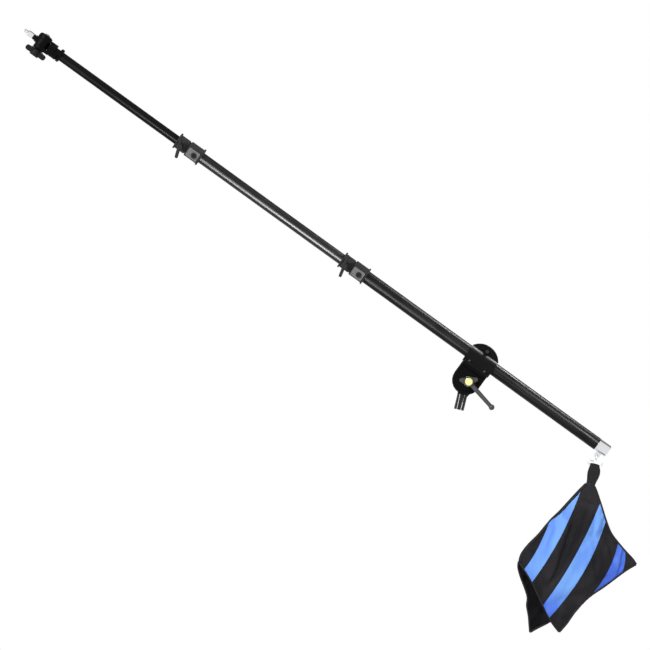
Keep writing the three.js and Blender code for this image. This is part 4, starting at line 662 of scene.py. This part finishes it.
def along(points, share):
    """The point at a share of a line's length, on a soft curve through its corners."""
    flat = np.array(points, float)
    steps = np.r_[0, np.cumsum(np.linalg.norm(np.diff(flat, axis=0), axis=1))]
    place = share * steps[-1]
    i = min(int(np.searchsorted(steps, place, side="right")) - 1, len(flat) - 2)
    t = (place - steps[i]) / (steps[i + 1] - steps[i])
    before = flat[max(i - 1, 0)]
    after = flat[min(i + 2, len(flat) - 1)]
    a, b = flat[i], flat[i + 1]
    return 0.5 * (2 * a + (b - before) * t + (2 * before - 5 * a + 4 * b - after) * t**2
                  + (3 * a - before - 3 * b + after) * t**3)


# Pouches

FOLD_STEPS = 16
# The cloth lifts beside each fold: how high and how far off, as shares of the fold's depth and half width
LIP_HEIGHT_SHARE = 0.45
LIP_PLACE_SHARE = 1.9
FOLD_REACH_SHARE = 3
# How full of sand a pouch is at its neck, and how much is added towards its low corner
NECK_FILL_SHARE = 0.55
LOW_FILL_SHARE = 0.45
FILL_SINK = 1.35
FILL_ROUNDING = 0.55
# Depth of a pouch's middle plane at the fold, and how far apart the two hang below it, in millimetres
FOLD_DEPTH = 3
HANG_DEPTH = 9
HANG_SHARE = 0.6
POUCH_STEPS = 44
# The cloth is a little too large for its shape, so it creases. It moves by this much at most.
CLOTH_GROWTH = 0.035
CLOTH_TRAVEL = 0.006
CLOTH_FRAMES = 20
CLOTH_SETTINGS = {
    "quality": 6,
    "mass": 0.25,
    "tension_stiffness": 18,
    "compression_stiffness": 18,
    "shear_stiffness": 9,
    "bending_stiffness": 0.25,
    "use_pressure": True,
    "uniform_pressure_force": 0.5,
    "shrink_min": -CLOTH_GROWTH,
    "shrink_max": -CLOTH_GROWTH,
    "vertex_group_mass": "held",
}


def fold_depth(lines, x, z):
    """How deep the cloth lies in its folds at a point, in millimetres."""
    total = 0.0
    for line, depth, width in lines:
        reach = np.diff(line, axis=0)
        off = np.array([x, z]) - line[:-1]
        t = np.clip(np.sum(off * reach, axis=1) / np.sum(reach**2, axis=1), 0, 1)
        gaps = np.linalg.norm(off - reach * t[:, None], axis=1)
        i = int(np.argmin(gaps))
        nearest = gaps[i]
        taper = math.sin(math.pi * (i + t[i]) / FOLD_STEPS)
        if nearest < FOLD_REACH_SHARE * width:
            total += depth * math.exp(-((nearest / width) ** 2)) * taper**0.5
            beside = (nearest - LIP_PLACE_SHARE * width) / width
            total -= depth * LIP_HEIGHT_SHARE * math.exp(-(beside**2)) * taper
    return total


class PouchShape:
    """The surface of one pouch between its four edges, swelled by the sand in it."""

    def __init__(self, side, far_side, foot, hem, folds, fullness):
        self.side = side
        self.edges = (FOLD_EDGE, far_side, foot, hem)
        shares = [i / FOLD_STEPS for i in range(FOLD_STEPS + 1)]
        self.folds = [(np.array([along(points, share) for share in shares]), *sizes)
                      for points, *sizes in folds]
        self.fullness = fullness

    def flat(self, u, v):
        """Coons patch: u from the neck along the fold, v from the fold to the hem."""
        fold, side, foot, hem = self.edges
        near, far = along(fold, u), along(hem, u)
        left, right = along(side, v), along(foot, v)
        a, b = along(fold, 0), along(fold, 1)
        d, c = along(hem, 0), along(hem, 1)
        ruled = (1 - v) * near + v * far + (1 - u) * left + u * right
        corners = (1 - u) * (1 - v) * a + u * (1 - v) * b + (1 - u) * v * d + u * v * c
        return ruled - corners

    def swell(self, u, v):
        """How far the sand pushes each face out, as a share: more of it lies low in the pouch."""
        low = NECK_FILL_SHARE + LOW_FILL_SHARE * u * 0.5 + LOW_FILL_SHARE * v * 0.5
        return (math.sin(math.pi * u) * math.sin(math.pi * min(v**FILL_SINK, 1))) ** FILL_ROUNDING * low

    def middle(self, v):
        """Depth of the pouch's middle plane: the cloth comes over the fold and hangs apart below it."""
        return self.side * (FOLD_DEPTH + (HANG_DEPTH + self.fullness * HANG_SHARE) * min(v * 3, 1))

    def point(self, u, v, face):
        x, z = self.flat(u, v)
        share = self.swell(u, v)
        reach = self.fullness * share
        if face == self.side:
            reach -= fold_depth(self.folds, x, z) * min(share * 2, 1)
        return bag_place(x, self.middle(v) + face * reach, z)


def pouch_shape(bag, label):
    return PouchShape(*POUCHES[label], bag.fullness / MM)


def sew_pouch(name, shape, material):
    """Two cloth faces joined round their edges."""
    shares = [i / POUCH_STEPS for i in range(POUCH_STEPS + 1)]
    vertices = [shape.point(u, v, face) for face in (-1, 1) for v in shares for u in shares]
    row = POUCH_STEPS + 1
    faces = []
    for j in range(POUCH_STEPS):
        for i in range(POUCH_STEPS):
            p = j * row + i
            faces.append((p, p + 1, p + row + 1, p + row))
            q = p + row * row
            faces.append((q, q + row, q + row + 1, q + 1))
    piece = new_piece(name, vertices, faces, material)
    face_outwards(piece, merge=0.0002)
    return piece


def held_points(piece, shape, reach=0.0006):
    """Which points of a pouch belong to its sewn edges."""
    shares = [i / POUCH_STEPS for i in range(POUCH_STEPS + 1)]
    rim = [shape.point(u, v, 0) for u in shares for v in (0.0, 1.0)]
    rim += [shape.point(u, v, 0) for u in (0.0, 1.0) for v in shares]
    spots = np.array(rim)
    gaps = [np.min(np.linalg.norm(spots - np.array(v.co), axis=1)) for v in piece.data.vertices]
    return [i for i, gap in enumerate(gaps) if gap < reach]


def blow_out(piece, held):
    """Runs the cloth for a short time, caps how far each point moved, and keeps the result."""
    scene = bpy.context.scene
    start = [v.co.copy() for v in piece.data.vertices]
    piece.vertex_groups.new(name="held").add(held, 1.0, "REPLACE")
    cloth = piece.modifiers.new("cloth", "CLOTH")
    for key, value in CLOTH_SETTINGS.items():
        setattr(cloth.settings, key, value)
    cloth.settings.effector_weights.gravity = 0
    cloth.collision_settings.use_collision = False
    cloth.point_cache.frame_start = 1
    cloth.point_cache.frame_end = CLOTH_FRAMES + 4
    for number in range(1, CLOTH_FRAMES + 1):
        scene.frame_set(number)
    evaluated = piece.evaluated_get(bpy.context.evaluated_depsgraph_get())
    moved = [v.co.copy() for v in evaluated.data.vertices]
    piece.modifiers.remove(cloth)
    scene.frame_set(1)
    for vertex, was, now in zip(piece.data.vertices, start, moved):
        step = now - was
        if step.length > CLOTH_TRAVEL:
            step *= CLOTH_TRAVEL / step.length
        vertex.co = was + step
    piece.vertex_groups.clear()
    piece.data.update()


class BOOM_OT_pouches(bpy.types.Operator):
    """Sews the two sand-filled pouches of the saddle bag and lets their cloth crease"""

    bl_idname = "boom.pouches"
    bl_label = "Bag pouches"

    def execute(self, context):
        finish, bag = context.scene.boom_finish, context.scene.boom_bag
        for label in POUCHES:
            name, node = f"pouch_{label}", f"{label}_pouch"
            shape = pouch_shape(bag, label)
            material = bag_cloth(finish, bag, f"{name}_cloth", label == "front")
            piece = sew_pouch(name, shape, material)
            blow_out(piece, held_points(piece, shape))
            finish_soft(piece)
            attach(piece, "weight_bag")
            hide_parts(node)
        return {"FINISHED"}


# Tape and stitches

# Corners between which the tape runs, as shares along the fold and down from it
TAPE_CORNERS = [(0.0, 0.04), (0.0, 1.0), (1.0, 1.0), (1.0, 0.0), (0.03, 0.0)]
TAPE_PARTS = ["side", "hem", "foot", "fold"]
# How far in from the edge the tape lies in millimetres, its width as a share of the binding's, its
# thickness in metres, and how far its stitches lie from its middle in millimetres
EDGE_TAPE = (0.0, 1.0, 0.0042, 2.1)
FOLD_TAPE = (3.6, 1.6, 0.0095, 4.7)
TAPE_STEPS = 40
STITCH_GAP_SHARE = 0.35
THREAD_WIDTH = 0.0008


def edge_line(shape, start, end, depth, inset):
    """Points along a pouch's edge between two (u, v) corners, moved in from the edge by an inset."""
    shares = [[a + (b - a) * i / TAPE_STEPS for a, b in zip(start, end)] for i in range(TAPE_STEPS + 1)]
    flat = np.array([shape.flat(u, v) for u, v in shares])
    ahead = np.gradient(flat, axis=0)
    ahead /= np.linalg.norm(ahead, axis=1)[:, None]
    flat += inset * ahead[:, ::-1] * (1, -1)
    return [bag_place(x, shape.middle(v) + depth, z) for (_, v), (x, z) in zip(shares, flat)]


class BOOM_OT_bag_trim(bpy.types.Operator):
    """Binds the free edges of both pouches with tape and runs a row of stitches along it"""

    bl_idname = "boom.bag_trim"
    bl_label = "Bag binding and stitches"

    def execute(self, context):
        bag = context.scene.boom_bag
        tape = coated("binding_tape", (0.018, 0.018, 0.020), (0.06, 0.06, 0.06), 0.8, 0.0009, 0.0003,
                      wear=0.2, dust=0.25, sheen=0.15)
        thread = coated("sewing_thread", (0.05, 0.05, 0.055), (0.1, 0.1, 0.1), 0.7, 0.0003, 0.0001,
                        wear=0.1, dust=0.1, sheen=0.3)
        for label in POUCHES:
            shape = pouch_shape(bag, label)
            for part, start, end in zip(TAPE_PARTS, TAPE_CORNERS, TAPE_CORNERS[1:]):
                inset, width_share, thickness, seam = FOLD_TAPE if part == "fold" else EDGE_TAPE
                section = round_section(bag.binding_width * width_share, thickness, 10)
                line = edge_line(shape, start, end, 0.0, inset)
                piece = swept(f"{label}_{part}_binding", line, section, tape)
                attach(piece, "weight_bag")
                for side in (-1, 1):
                    face = "outer" if side == shape.side else "inner"
                    line = edge_line(shape, start, end, side * seam, inset)
                    rows = stitch_row(f"{label}_{part}_stitches_{face}", line, bag.stitch_length,
                                      bag.stitch_length * STITCH_GAP_SHARE, THREAD_WIDTH, thread,
                                      Vector((0, side, 0)))
                    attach(rows, "weight_bag")
        return {"FINISHED"}


# Saddle

# Sizes in millimetres across the fold: the saddle's radius, its cloth's thickness, how far the centre of
# the bend lies in from the edge and how much further the cloth's two sides reach
SADDLE_RADIUS = 3.6
SADDLE_PLY = 1.2
SADDLE_INSET = 9.0
SADDLE_HEM = 9.0
SADDLE_RUCK = 0.25
SADDLE_STEPS = 40
SADDLE_TURNS = 14
# How much narrower the cloth is gathered at the neck, and along what share of the fold
PINCH_SHARE = 0.45
PINCH_REACH_SHARE = 0.12


def saddle_points(u):
    """The points round the fold at a share of its length, on the cloth's outside and then its inside."""
    x, z = along(FOLD_EDGE, u)
    ahead = along(FOLD_EDGE, min(u + 0.02, 1)) - along(FOLD_EDGE, max(u - 0.02, 0))
    ahead /= np.linalg.norm(ahead)
    inward = np.array([-ahead[1], ahead[0]])
    pinch = 1 - PINCH_SHARE * math.exp(-((u / PINCH_REACH_SHARE) ** 2))
    points = []
    for layer in (0.0, SADDLE_PLY):
        for k in range(SADDLE_TURNS + 1):
            angle = math.pi * k / SADDLE_TURNS
            radius = (SADDLE_RADIUS - layer) * pinch
            into = SADDLE_INSET - math.sin(angle) * (radius + SADDLE_RUCK * math.sin(9 * u + k))
            if k in (0, SADDLE_TURNS):
                into += SADDLE_HEM
            px, pz = np.array([x, z]) + inward * into
            points.append(bag_place(px, -math.cos(angle) * radius, pz))
    return points


class BOOM_OT_bag_saddle(bpy.types.Operator):
    """Lays the cloth that goes over the fold and carries both pouches"""

    bl_idname = "boom.bag_saddle"
    bl_label = "Bag saddle"

    def execute(self, context):
        finish, bag = context.scene.boom_finish, context.scene.boom_bag
        material = bag_cloth(finish, bag, "saddle_cloth", False)
        vertices, faces = [], []
        for i in range(SADDLE_STEPS + 1):
            vertices += saddle_points(0.03 + 0.96 * i / SADDLE_STEPS)
        inside = SADDLE_TURNS + 1
        row = 2 * inside
        for i in range(SADDLE_STEPS):
            for k in range(SADDLE_TURNS):
                a = i * row + k
                faces.append((a, a + 1, a + row + 1, a + row))
                b = a + inside
                faces.append((b, b + row, b + row + 1, b + 1))
            for k in (0, SADDLE_TURNS):
                a = i * row + k
                b = a + inside
                faces.append((a, b, b + row, a + row) if k else (a, a + row, b + row, b))
        for i in (0, SADDLE_STEPS):
            for k in range(SADDLE_TURNS):
                a = i * row + k
                b = a + inside
                faces.append((a, b, b + 1, a + 1) if i else (a, a + 1, b + 1, b))
        piece = new_piece("saddle", vertices, faces, material)
        face_outwards(piece)
        finish_soft(piece)
        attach(piece, "weight_bag")
        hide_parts("saddle_band")
        return {"FINISHED"}


# Hanging loop

# Down the loop as shares of its length, with its half width and its lean to the right in millimetres
LOOP_SHARES = (0.0, 0.10, 0.22, 0.38, 0.68, 0.85, 1.0)
LOOP_HALF_WIDTHS = (12.5, 15.0, 16.6, 17.0, 12.6, 12.0, 12.0)
LOOP_LEANS = (0.5, 2.5, 2.8, 3.0, 2.5, 1.5, 1.0)
# Across the loop, from one edge to the other
LOOP_COLUMNS = [-1.0, -0.93, -0.7, -0.35, 0.0, 0.35, 0.7, 0.93, 1.0]
LOOP_PLY = 2.2
LOOP_FOOT = 66
LOOP_HOLE = 2.5
LOOP_PRESS = 0.2
LOOP_STEPS = 14
LOOP_TURNS = 12
LOOP_CURL = 0.5
LOOP_EDGE_SHARE = 0.35
LOOP_SEAM = [(-9, -44), (7, -44), (7, -60), (-9, -60), (-9, -44), (7, -60)]
LOOP_SEAM_DEPTH = 2 * LOOP_PLY - 0.1


def loop_path():
    """The webbing's middle line as (depth, z) pairs: up one ply, over the wire and down the other."""
    down = []
    for t in (i / LOOP_STEPS for i in range(LOOP_STEPS + 1)):
        spread = LOOP_HOLE + (LOOP_PLY / 2 - LOOP_PRESS - LOOP_HOLE) * (3 * t**2 - 2 * t**3)
        down.append((spread + LOOP_PLY / 2, -LOOP_FOOT * t))
    radius = LOOP_HOLE + LOOP_PLY / 2
    turns = [math.pi - math.pi * k / LOOP_TURNS for k in range(1, LOOP_TURNS)]
    bend = [(math.cos(turn) * radius, math.sin(turn) * radius) for turn in turns]
    return [(-depth, z) for depth, z in reversed(down)] + bend + down


def webbing_points():
    """The rings of points round the webbing, one for each place on its middle line."""
    path = loop_path()
    points = [bag_place(0, depth, z) for depth, z in path]
    centre = bag_place(0, 0, -LOOP_FOOT * 0.4)
    across = Vector((1, 0, 0))
    vertices = []
    for i, point in enumerate(points):
        tangent = (points[min(i + 1, len(points) - 1)] - points[max(i - 1, 0)]).normalized()
        out = tangent.cross(across).normalized()
        if (point - centre).dot(out) < 0:
            out = -out
        share = min(max(-path[i][1] / LOOP_FOOT, 0), 1)
        lean = float(np.interp(share, LOOP_SHARES, LOOP_LEANS))
        width = float(np.interp(share, LOOP_SHARES, LOOP_HALF_WIDTHS))
        for face in (1, -1):
            for c in LOOP_COLUMNS[::face]:
                edge = 1 - LOOP_EDGE_SHARE * abs(c) ** 12
                curl = LOOP_CURL * MM * math.cos(c * 2.6) * (1 - share)
                vertices.append(point + across * (c * width + lean) * MM
                                + out * (face * LOOP_PLY / 2 * MM * edge + curl))
    return len(points), vertices


class BOOM_OT_hanging_loop(bpy.types.Operator):
    """Folds the webbing loop over the hook's seat and sews its two plies together at the foot"""

    bl_idname = "boom.hanging_loop"
    bl_label = "Hanging loop"

    def execute(self, context):
        material = webbing_finish()
        count, vertices = webbing_points()
        ring = 2 * len(LOOP_COLUMNS)
        faces = []
        for i in range(count - 1):
            for k in range(ring):
                m = (k + 1) % ring
                faces.append((i * ring + k, i * ring + m, (i + 1) * ring + m, (i + 1) * ring + k))
        faces += [tuple(range(ring))[::-1], tuple(range((count - 1) * ring, count * ring))]
        piece = new_piece("hanging_loop", vertices, faces, material)
        face_outwards(piece)
        finish_soft(piece)
        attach(piece, "weight_bag")
        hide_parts("webbing_loop")
        thread = coated("loop_thread", (0.09, 0.09, 0.095), (0.14, 0.14, 0.14), 0.7, 0.0003, 0.0001,
                        wear=0.1, dust=0.1, sheen=0.3)
        for label, side in (("front", -1), ("back", 1)):
            line = [bag_place(x, side * LOOP_SEAM_DEPTH * (1.0 if z < -50 else 1.04), z)
                    for x, z in LOOP_SEAM]
            rows = stitch_row(f"loop_stitches_{label}", line, 0.0026, 0.0008, 0.0009, thread,
                              Vector((0, side, 0)))
            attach(rows, "weight_bag")
        return {"FINISHED"}


# Metal, plastic and tubes


class BOOM_OT_castings(bpy.types.Operator):
    """Finishes the black castings of the head, the tip and the stand socket"""

    bl_idname = "boom.castings"
    bl_label = "Castings"

    def execute(self, context):
        finish = context.scene.boom_finish
        satin = coated("cast_black_coat", finish.cast_black, (0.045, 0.045, 0.046), 0.40, 0.0011, 0.0002,
                       wear=0.3, dust=0.12, sheen=0.055)
        dress(["head_casting", "fork", "tongue", "stop_ring"], satin, edge=0.0006)
        # Painted light: the clamp cap wears a copy of the casting black 1.5 times lighter, a painted sheen
        # on its dome; its coat is also more worn and dustier
        handled = coated("cap_black_coat", [c * 1.5 for c in finish.cast_black], (0.06, 0.06, 0.062), 0.36,
                         0.0011, 0.0003, wear=0.35, dust=0.2, sheen=0.09)
        dress(["clamp_cap"], handled, edge=0.0006)
        gloss = coated("gloss_black_enamel", (0.006, 0.006, 0.0065), (0.05, 0.05, 0.05), 0.10, 0.004,
                       0.0001, wear=0.2, dust=0.1, sheen=0.3)
        dress(["socket_casting"], gloss, edge=0.0006)
        grey = coated("lever_grey_coat", finish.lever_grey, (0.22, 0.22, 0.23), 0.45, 0.0009, 0.00015,
                      wear=0.4, dust=0.1)
        dress(["tilt_lever_casting"], grey, edge=0.0005)
        fibre = coated("friction_fibre", (0.03, 0.026, 0.022), (0.08, 0.07, 0.06), 0.85, 0.0006, 0.0003,
                       wear=0.5, dust=0.2)
        dress(["friction_disc", "tip_friction_upper", "tip_friction_lower"], fibre, edge=0.0002)
        return {"FINISHED"}


class BOOM_OT_tubes(bpy.types.Operator):
    """Finishes the three boom tubes, their guides and the bright end cap"""

    bl_idname = "boom.tubes"
    bl_label = "Tubes and end cap"

    def execute(self, context):
        finish = context.scene.boom_finish
        for name, sheen in (("outer_tube", 0.085), ("middle_tube", 0.22), ("inner_tube", 0.05)):
            dress([name], tube_finish(finish, f"satin_black_{name}", sheen), edge=0.0003)
        guides = coated("guide_nylon", (0.03, 0.03, 0.032), (0.08, 0.08, 0.08), 0.6, 0.0008, 0.0001)
        dress(["middle_guide", "inner_guide"], guides, edge=0.0003)
        chrome = bare_metal("bright_chrome", (0.72, 0.73, 0.74), 0.10, drawn=0.05, mark=0.02, stain=0.1)
        dress(["end_cap", "light_stud", "hook_wire"], chrome, edge=0.0003)
        return {"FINISHED"}


class BOOM_OT_collars(bpy.types.Operator):
    """Finishes the telescope collars with their plates, knobs and bolts, and the black oxide screws"""

    bl_idname = "boom.collars"
    bl_label = "Collars"

    def execute(self, context):
        moulded = coated("moulded_black", (0.030, 0.030, 0.031), (0.09, 0.09, 0.09), 0.55, 0.0012, 0.0003,
                         wear=0.45, dust=0.3, sheen=0.15)
        dress(["collar_a_casting", "collar_b_casting", "collar_a_knob", "collar_b_knob"], moulded,
              edge=0.0006)
        plate = coated("grey_plate", (0.20, 0.20, 0.20), (0.08, 0.08, 0.08), 0.6, 0.0008, 0.0001,
                       wear=0.7, dust=0.1, sheen=0.2)
        dress(["collar_a_plate", "collar_b_plate"], plate, edge=0.0003)
        oxide = bare_metal("black_oxide", (0.045, 0.045, 0.047), 0.34, drawn=0.1, mark=0.003, stain=0.3)
        dress([*(f"cap_screw_{i}" for i in range(1, 5)), "web_screw"], oxide, edge=0.0003)
        bolts = coated("bolt_black", (0.022, 0.022, 0.023), (0.06, 0.06, 0.06), 0.45, 0.0008, 0.0001,
                       wear=0.3, dust=0.1, sheen=0.15)
        dress(["collar_a_bolt", "collar_b_bolt"], bolts, edge=0.0003)
        return {"FINISHED"}


class BOOM_OT_knobs(bpy.types.Operator):
    """Finishes the lock and tip knobs, the zinc screws, washers and nut, the brass pad and brake shoes,
    and the gold cap on the tilt lever
    """

    bl_idname = "boom.knobs"
    bl_label = "Knobs and fasteners"

    def execute(self, context):
        finish = context.scene.boom_finish
        rubbery = coated("knob_plastic", (0.012, 0.012, 0.0125), (0.07, 0.07, 0.07), 0.5, 0.0010, 0.0002,
                         wear=0.3, dust=0.2, sheen=0.1)
        dress(["spigot_lock_knob", "boom_lock_knob", "tip_knob"], rubbery, edge=0.0007)
        zinc = bare_metal("zinc_plate", (0.50, 0.50, 0.49), 0.30, drawn=0.12, mark=0.004, stain=0.4)
        dress(["pivot_bolt", "pivot_nut", "spigot_lock_screw", "boom_lock_screw", "lever_washer",
               "tip_bolt", "tip_washer", "collar_a_screw", "collar_b_screw"], zinc, edge=0.0003)
        gold = bare_metal("gold_cap", finish.cap_gold, 0.32, drawn=0.08, mark=0.003, stain=0.15)
        dress(["tilt_lever_cap"], gold, edge=0.0004)
        brass = bare_metal("plain_brass", (0.60, 0.42, 0.18), 0.34, drawn=0.1)
        dress(["boom_pad", "collar_a_shoe", "collar_b_shoe"], brass, edge=0.0002)
        return {"FINISHED"}


# Rings at the tip

# Axis, place along it from the tip's pivot, inner and outer radius and height in millimetres, body
RINGS = {
    "upper_seal_rubber": (ABOVE_BOOM, 8.65, 16.3, 19.6, 1.3, "inner_section"),
    "lower_seal_rubber": (ABOVE_BOOM, -9.95, 16.3, 19.6, 1.3, "inner_section"),
    "knob_washer_rubber": (ABOVE_BOOM, -23.6, 12.3, 19.4, 1.7, "tip_lock"),
    "stud_foot_rubber": (ALONG_BOOM, -23.2, 8.1, 9.0, 3.0, "stud_swivel"),
    "stud_waist_rubber": (ALONG_BOOM, -28.8, 6.1, 7.7, 4.2, "stud_swivel"),
}
RING_STEPS = 48
RING_EDGE = 0.4


def turned_ring(name, foot, axis, inner, outer, height, material):
    """A flat ring with broken edges, in millimetres from its foot."""
    side = axis.orthogonal().normalized()
    across = axis.cross(side)
    outline = [(inner, 0), (outer - RING_EDGE, 0), (outer, RING_EDGE), (outer, height - RING_EDGE),
               (outer - RING_EDGE, height), (inner, height)]
    vertices = []
    for i in range(RING_STEPS):
        angle = 2 * math.pi * i / RING_STEPS
        way = side * math.cos(angle) + across * math.sin(angle)
        vertices += [foot + (way * radius + axis * rise) * MM for radius, rise in outline]
    faces = ring_faces(RING_STEPS, len(outline), closed=True)
    return new_piece(name, vertices, faces, material, smooth=False)


class BOOM_OT_tip_fittings(bpy.types.Operator):
    """Adds the tip's rubber rings: round the friction washers, above the knob and round the stud's foot"""

    bl_idname = "boom.tip_fittings"
    bl_label = "Tip rings"

    def execute(self, context):
        rubber = coated("ring_rubber", (0.006, 0.006, 0.0065), (0.03, 0.03, 0.03), 0.7, 0.001, 0.0002,
                        wear=0.2, dust=0.1, sheen=0.08)
        for name, (axis, place, inner, outer, height, body) in RINGS.items():
            ring = turned_ring(name, TIP_PIVOT + axis * place * MM, axis, inner, outer, height, rubber)
            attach(ring, body)
        return {"FINISHED"}


# Stage

FLOOR_DROP = 1.25
FLOOR_REACH = 40
FLOOR_GLOW = 0.34
LENS = 300
SENSOR_WIDTH = 36
VIEW_WIDTH = 1.748
VIEW_CENTRE = (-0.4048, 0.1353)
CAMERA_ROLL = math.radians(13.86)
SURROUND_GLOW = 0.40
CARD_SHADE = 0.72
STREAK_REACH = 1.5
TUBES = ["outer_tube", "middle_tube", "inner_tube"]
# Place along the boom from the clamp, degrees up round the boom from the viewer's side, length, width,
# watts and what it reaches
STRIPS = {
    "low_strip": (-0.675, -31, 0.80, 0.16, 118, TUBES),
    "top_strip": (0.08, 98, 0.52, 0.30, 52, [*TUBES, "clamp_cap"]),
    "front_strip": (0.56, 26, 0.26, 0.20, 50, TUBES),
}
# Degrees from the viewer's side towards the bag
UPRIGHTS = {"left_upright": -53, "right_upright": 47}
UPRIGHT_SIZE = (0.17, 0.7)
UPRIGHT_WATTS = 16
# Which way its light goes, what share it gives of the light that makes white look white, its width in
# degrees
SUNS = {
    "key": ((0.75, 1.0, -0.6), 0.78, 18),
    "fill": ((-0.8, 1.0, 0.15), 0.12, 60),
}


def add_streak_lamp(name, size, watts, reached):
    """A lamp that shows only as a streak on the named CAD nodes, as a maker flags it off the rest."""
    data = bpy.data.lights.new(name, "AREA")
    data.shape = "RECTANGLE"
    data.size, data.size_y = size
    data.energy = watts
    lamp = link(bpy.data.objects.new(name, data))
    nodes = bpy.data.collections.new(f"{name}_reaches")
    for node in reached:
        nodes.objects.link(frame["nodes"][node])
    lamp.light_linking.receiver_collection = nodes
    lamp.visible_diffuse = False
    return lamp


def add_lamps():
    """Strips beside the boom, tall lamps for the stand socket, and even light from two sides."""
    for name, (station, degrees, length, width, watts, reached) in STRIPS.items():
        turn = math.radians(degrees)
        away = TOWARDS_VIEWER * math.cos(turn) + ABOVE_BOOM * math.sin(turn)
        across = away.cross(ALONG_BOOM).normalized()
        spot = CLAMP_CENTRE + ALONG_BOOM * station + away * STREAK_REACH
        lamp = add_streak_lamp(name, (length, width), watts, reached)
        facing = Matrix((ALONG_BOOM, across, away)).transposed()
        lamp.matrix_world = Matrix.Translation(spot) @ facing.to_4x4()
    for name, degrees in UPRIGHTS.items():
        turn = math.radians(degrees)
        lamp = add_streak_lamp(name, UPRIGHT_SIZE, UPRIGHT_WATTS, ["socket_casting"])
        lamp.location = (math.sin(turn), -math.cos(turn), 0)
        lamp.rotation_euler = lamp.location.to_track_quat("Z", "Y").to_euler()
    for name, (towards, strength, degrees) in SUNS.items():
        data = bpy.data.lights.new(name, "SUN")
        data.energy = strength * math.pi
        data.angle = math.radians(degrees)
        lamp = link(bpy.data.objects.new(name, data))
        lamp.rotation_euler = Vector(towards).to_track_quat("-Z", "Y").to_euler()


def seen_itself(tree):
    """1 for a ray that shows the thing itself or its reflection, 0 for one that gathers its light."""
    rays = put(tree, "ShaderNodeLightPath")
    seen = rays["Is Camera Ray"].math("MAXIMUM", rays["Is Glossy Ray"])
    return seen.math("MAXIMUM", rays["Is Transmission Ray"])


def add_floor():
    material, tree, shader = start_material("pale_floor")
    set_shader(shader, base_color=(0.9, 0.9, 0.9, 1), roughness=0.9, specular_ior_level=0.1,
               emission_color=(1, 1, 1, 1), emission_strength=seen_itself(tree) * FLOOR_GLOW)
    centre = (CAD_BOX[0] + CAD_BOX[1]) / 2
    corners = [(centre.x + x * FLOOR_REACH, centre.y + y * FLOOR_REACH, -FLOOR_DROP)
               for x, y in ((-1, -1), (1, -1), (1, 1), (-1, 1))]
    floor = new_piece("floor", corners, [(0, 1, 2, 3)], material, smooth=False)


def add_surroundings(scene):
    """White all round, with a dark card above and behind that only shows in shiny pieces."""
    world = bpy.data.worlds.new("white_surroundings")
    scene.world = world
    world.use_nodes = True
    sky = world.node_tree
    way = axes_of(put(sky, "ShaderNodeTexCoord")["Generated"])
    card = ramp(way["Z"], 0.08, 0.25) * ramp(way["Y"], -0.15, 0.1)
    shown = card * put(sky, "ShaderNodeLightPath")["Is Glossy Ray"] * CARD_SHADE
    background = sky.nodes["Background"]
    fill(background.inputs["Color"], (1, 1, 1, 1))
    fill(background.inputs["Strength"], ramp(seen_itself(sky), 0.0, 1.0, SURROUND_GLOW, 1.0) - shown)


def add_camera(scene):
    data = bpy.data.cameras.new("camera")
    data.sensor_width = SENSOR_WIDTH
    data.lens = LENS
    camera = link(bpy.data.objects.new("camera", data))
    x, z = VIEW_CENTRE
    camera.matrix_world = (
        Matrix.Translation((x, CLAMP_CENTRE.y - VIEW_WIDTH * LENS / SENSOR_WIDTH, z))
        @ Matrix.Rotation(math.radians(90), 4, "X")
        @ Matrix.Rotation(CAMERA_ROLL, 4, "Z")
    )
    scene.camera = camera


class BOOM_OT_stage(bpy.types.Operator):
    """Sets up the pale floor, the soft lamps, the white surroundings and the camera"""

    bl_idname = "boom.stage"
    bl_label = "Stage"

    def execute(self, context):
        context.scene.view_settings.view_transform = "Standard"
        add_floor()
        add_surroundings(context.scene)
        add_lamps()
        add_camera(context.scene)
        return {"FINISHED"}


OPERATORS = (
    BOOM_OT_stage,
    BOOM_OT_castings,
    BOOM_OT_tubes,
    BOOM_OT_collars,
    BOOM_OT_knobs,
    BOOM_OT_tip_fittings,
    BOOM_OT_pouches,
    BOOM_OT_bag_saddle,
    BOOM_OT_bag_trim,
    BOOM_OT_hanging_loop,
)


class BOOM_PT_sidebar(bpy.types.Panel):
    """Lists the boom arm's pieces and settings"""

    bl_label = "Boom Arm"
    bl_space_type = "VIEW_3D"
    bl_region_type = "UI"
    bl_category = "Boom Arm"

    def draw(self, context):
        for settings in (context.scene.boom_finish, context.scene.boom_bag):
            box = self.layout.box()
            for name in settings.__annotations__:
                box.prop(settings, name)
        for operator in OPERATORS:
            self.layout.operator(operator.bl_idname)


CLASSES = (FinishSettings, BagSettings, *OPERATORS, BOOM_PT_sidebar)


def register():
    for cls in CLASSES:
        bpy.utils.register_class(cls)
    bpy.types.Scene.boom_finish = bpy.props.PointerProperty(type=FinishSettings)
    bpy.types.Scene.boom_bag = bpy.props.PointerProperty(type=BagSettings)


def unregister():
    del bpy.types.Scene.boom_bag
    del bpy.types.Scene.boom_finish
    for cls in reversed(CLASSES):
        bpy.utils.unregister_class(cls)


def main():
    register()
    for operator in OPERATORS:
        group, name = operator.bl_idname.split(".")
        getattr(getattr(bpy.ops, group), name)()


if __name__ == "__main__":
    main()
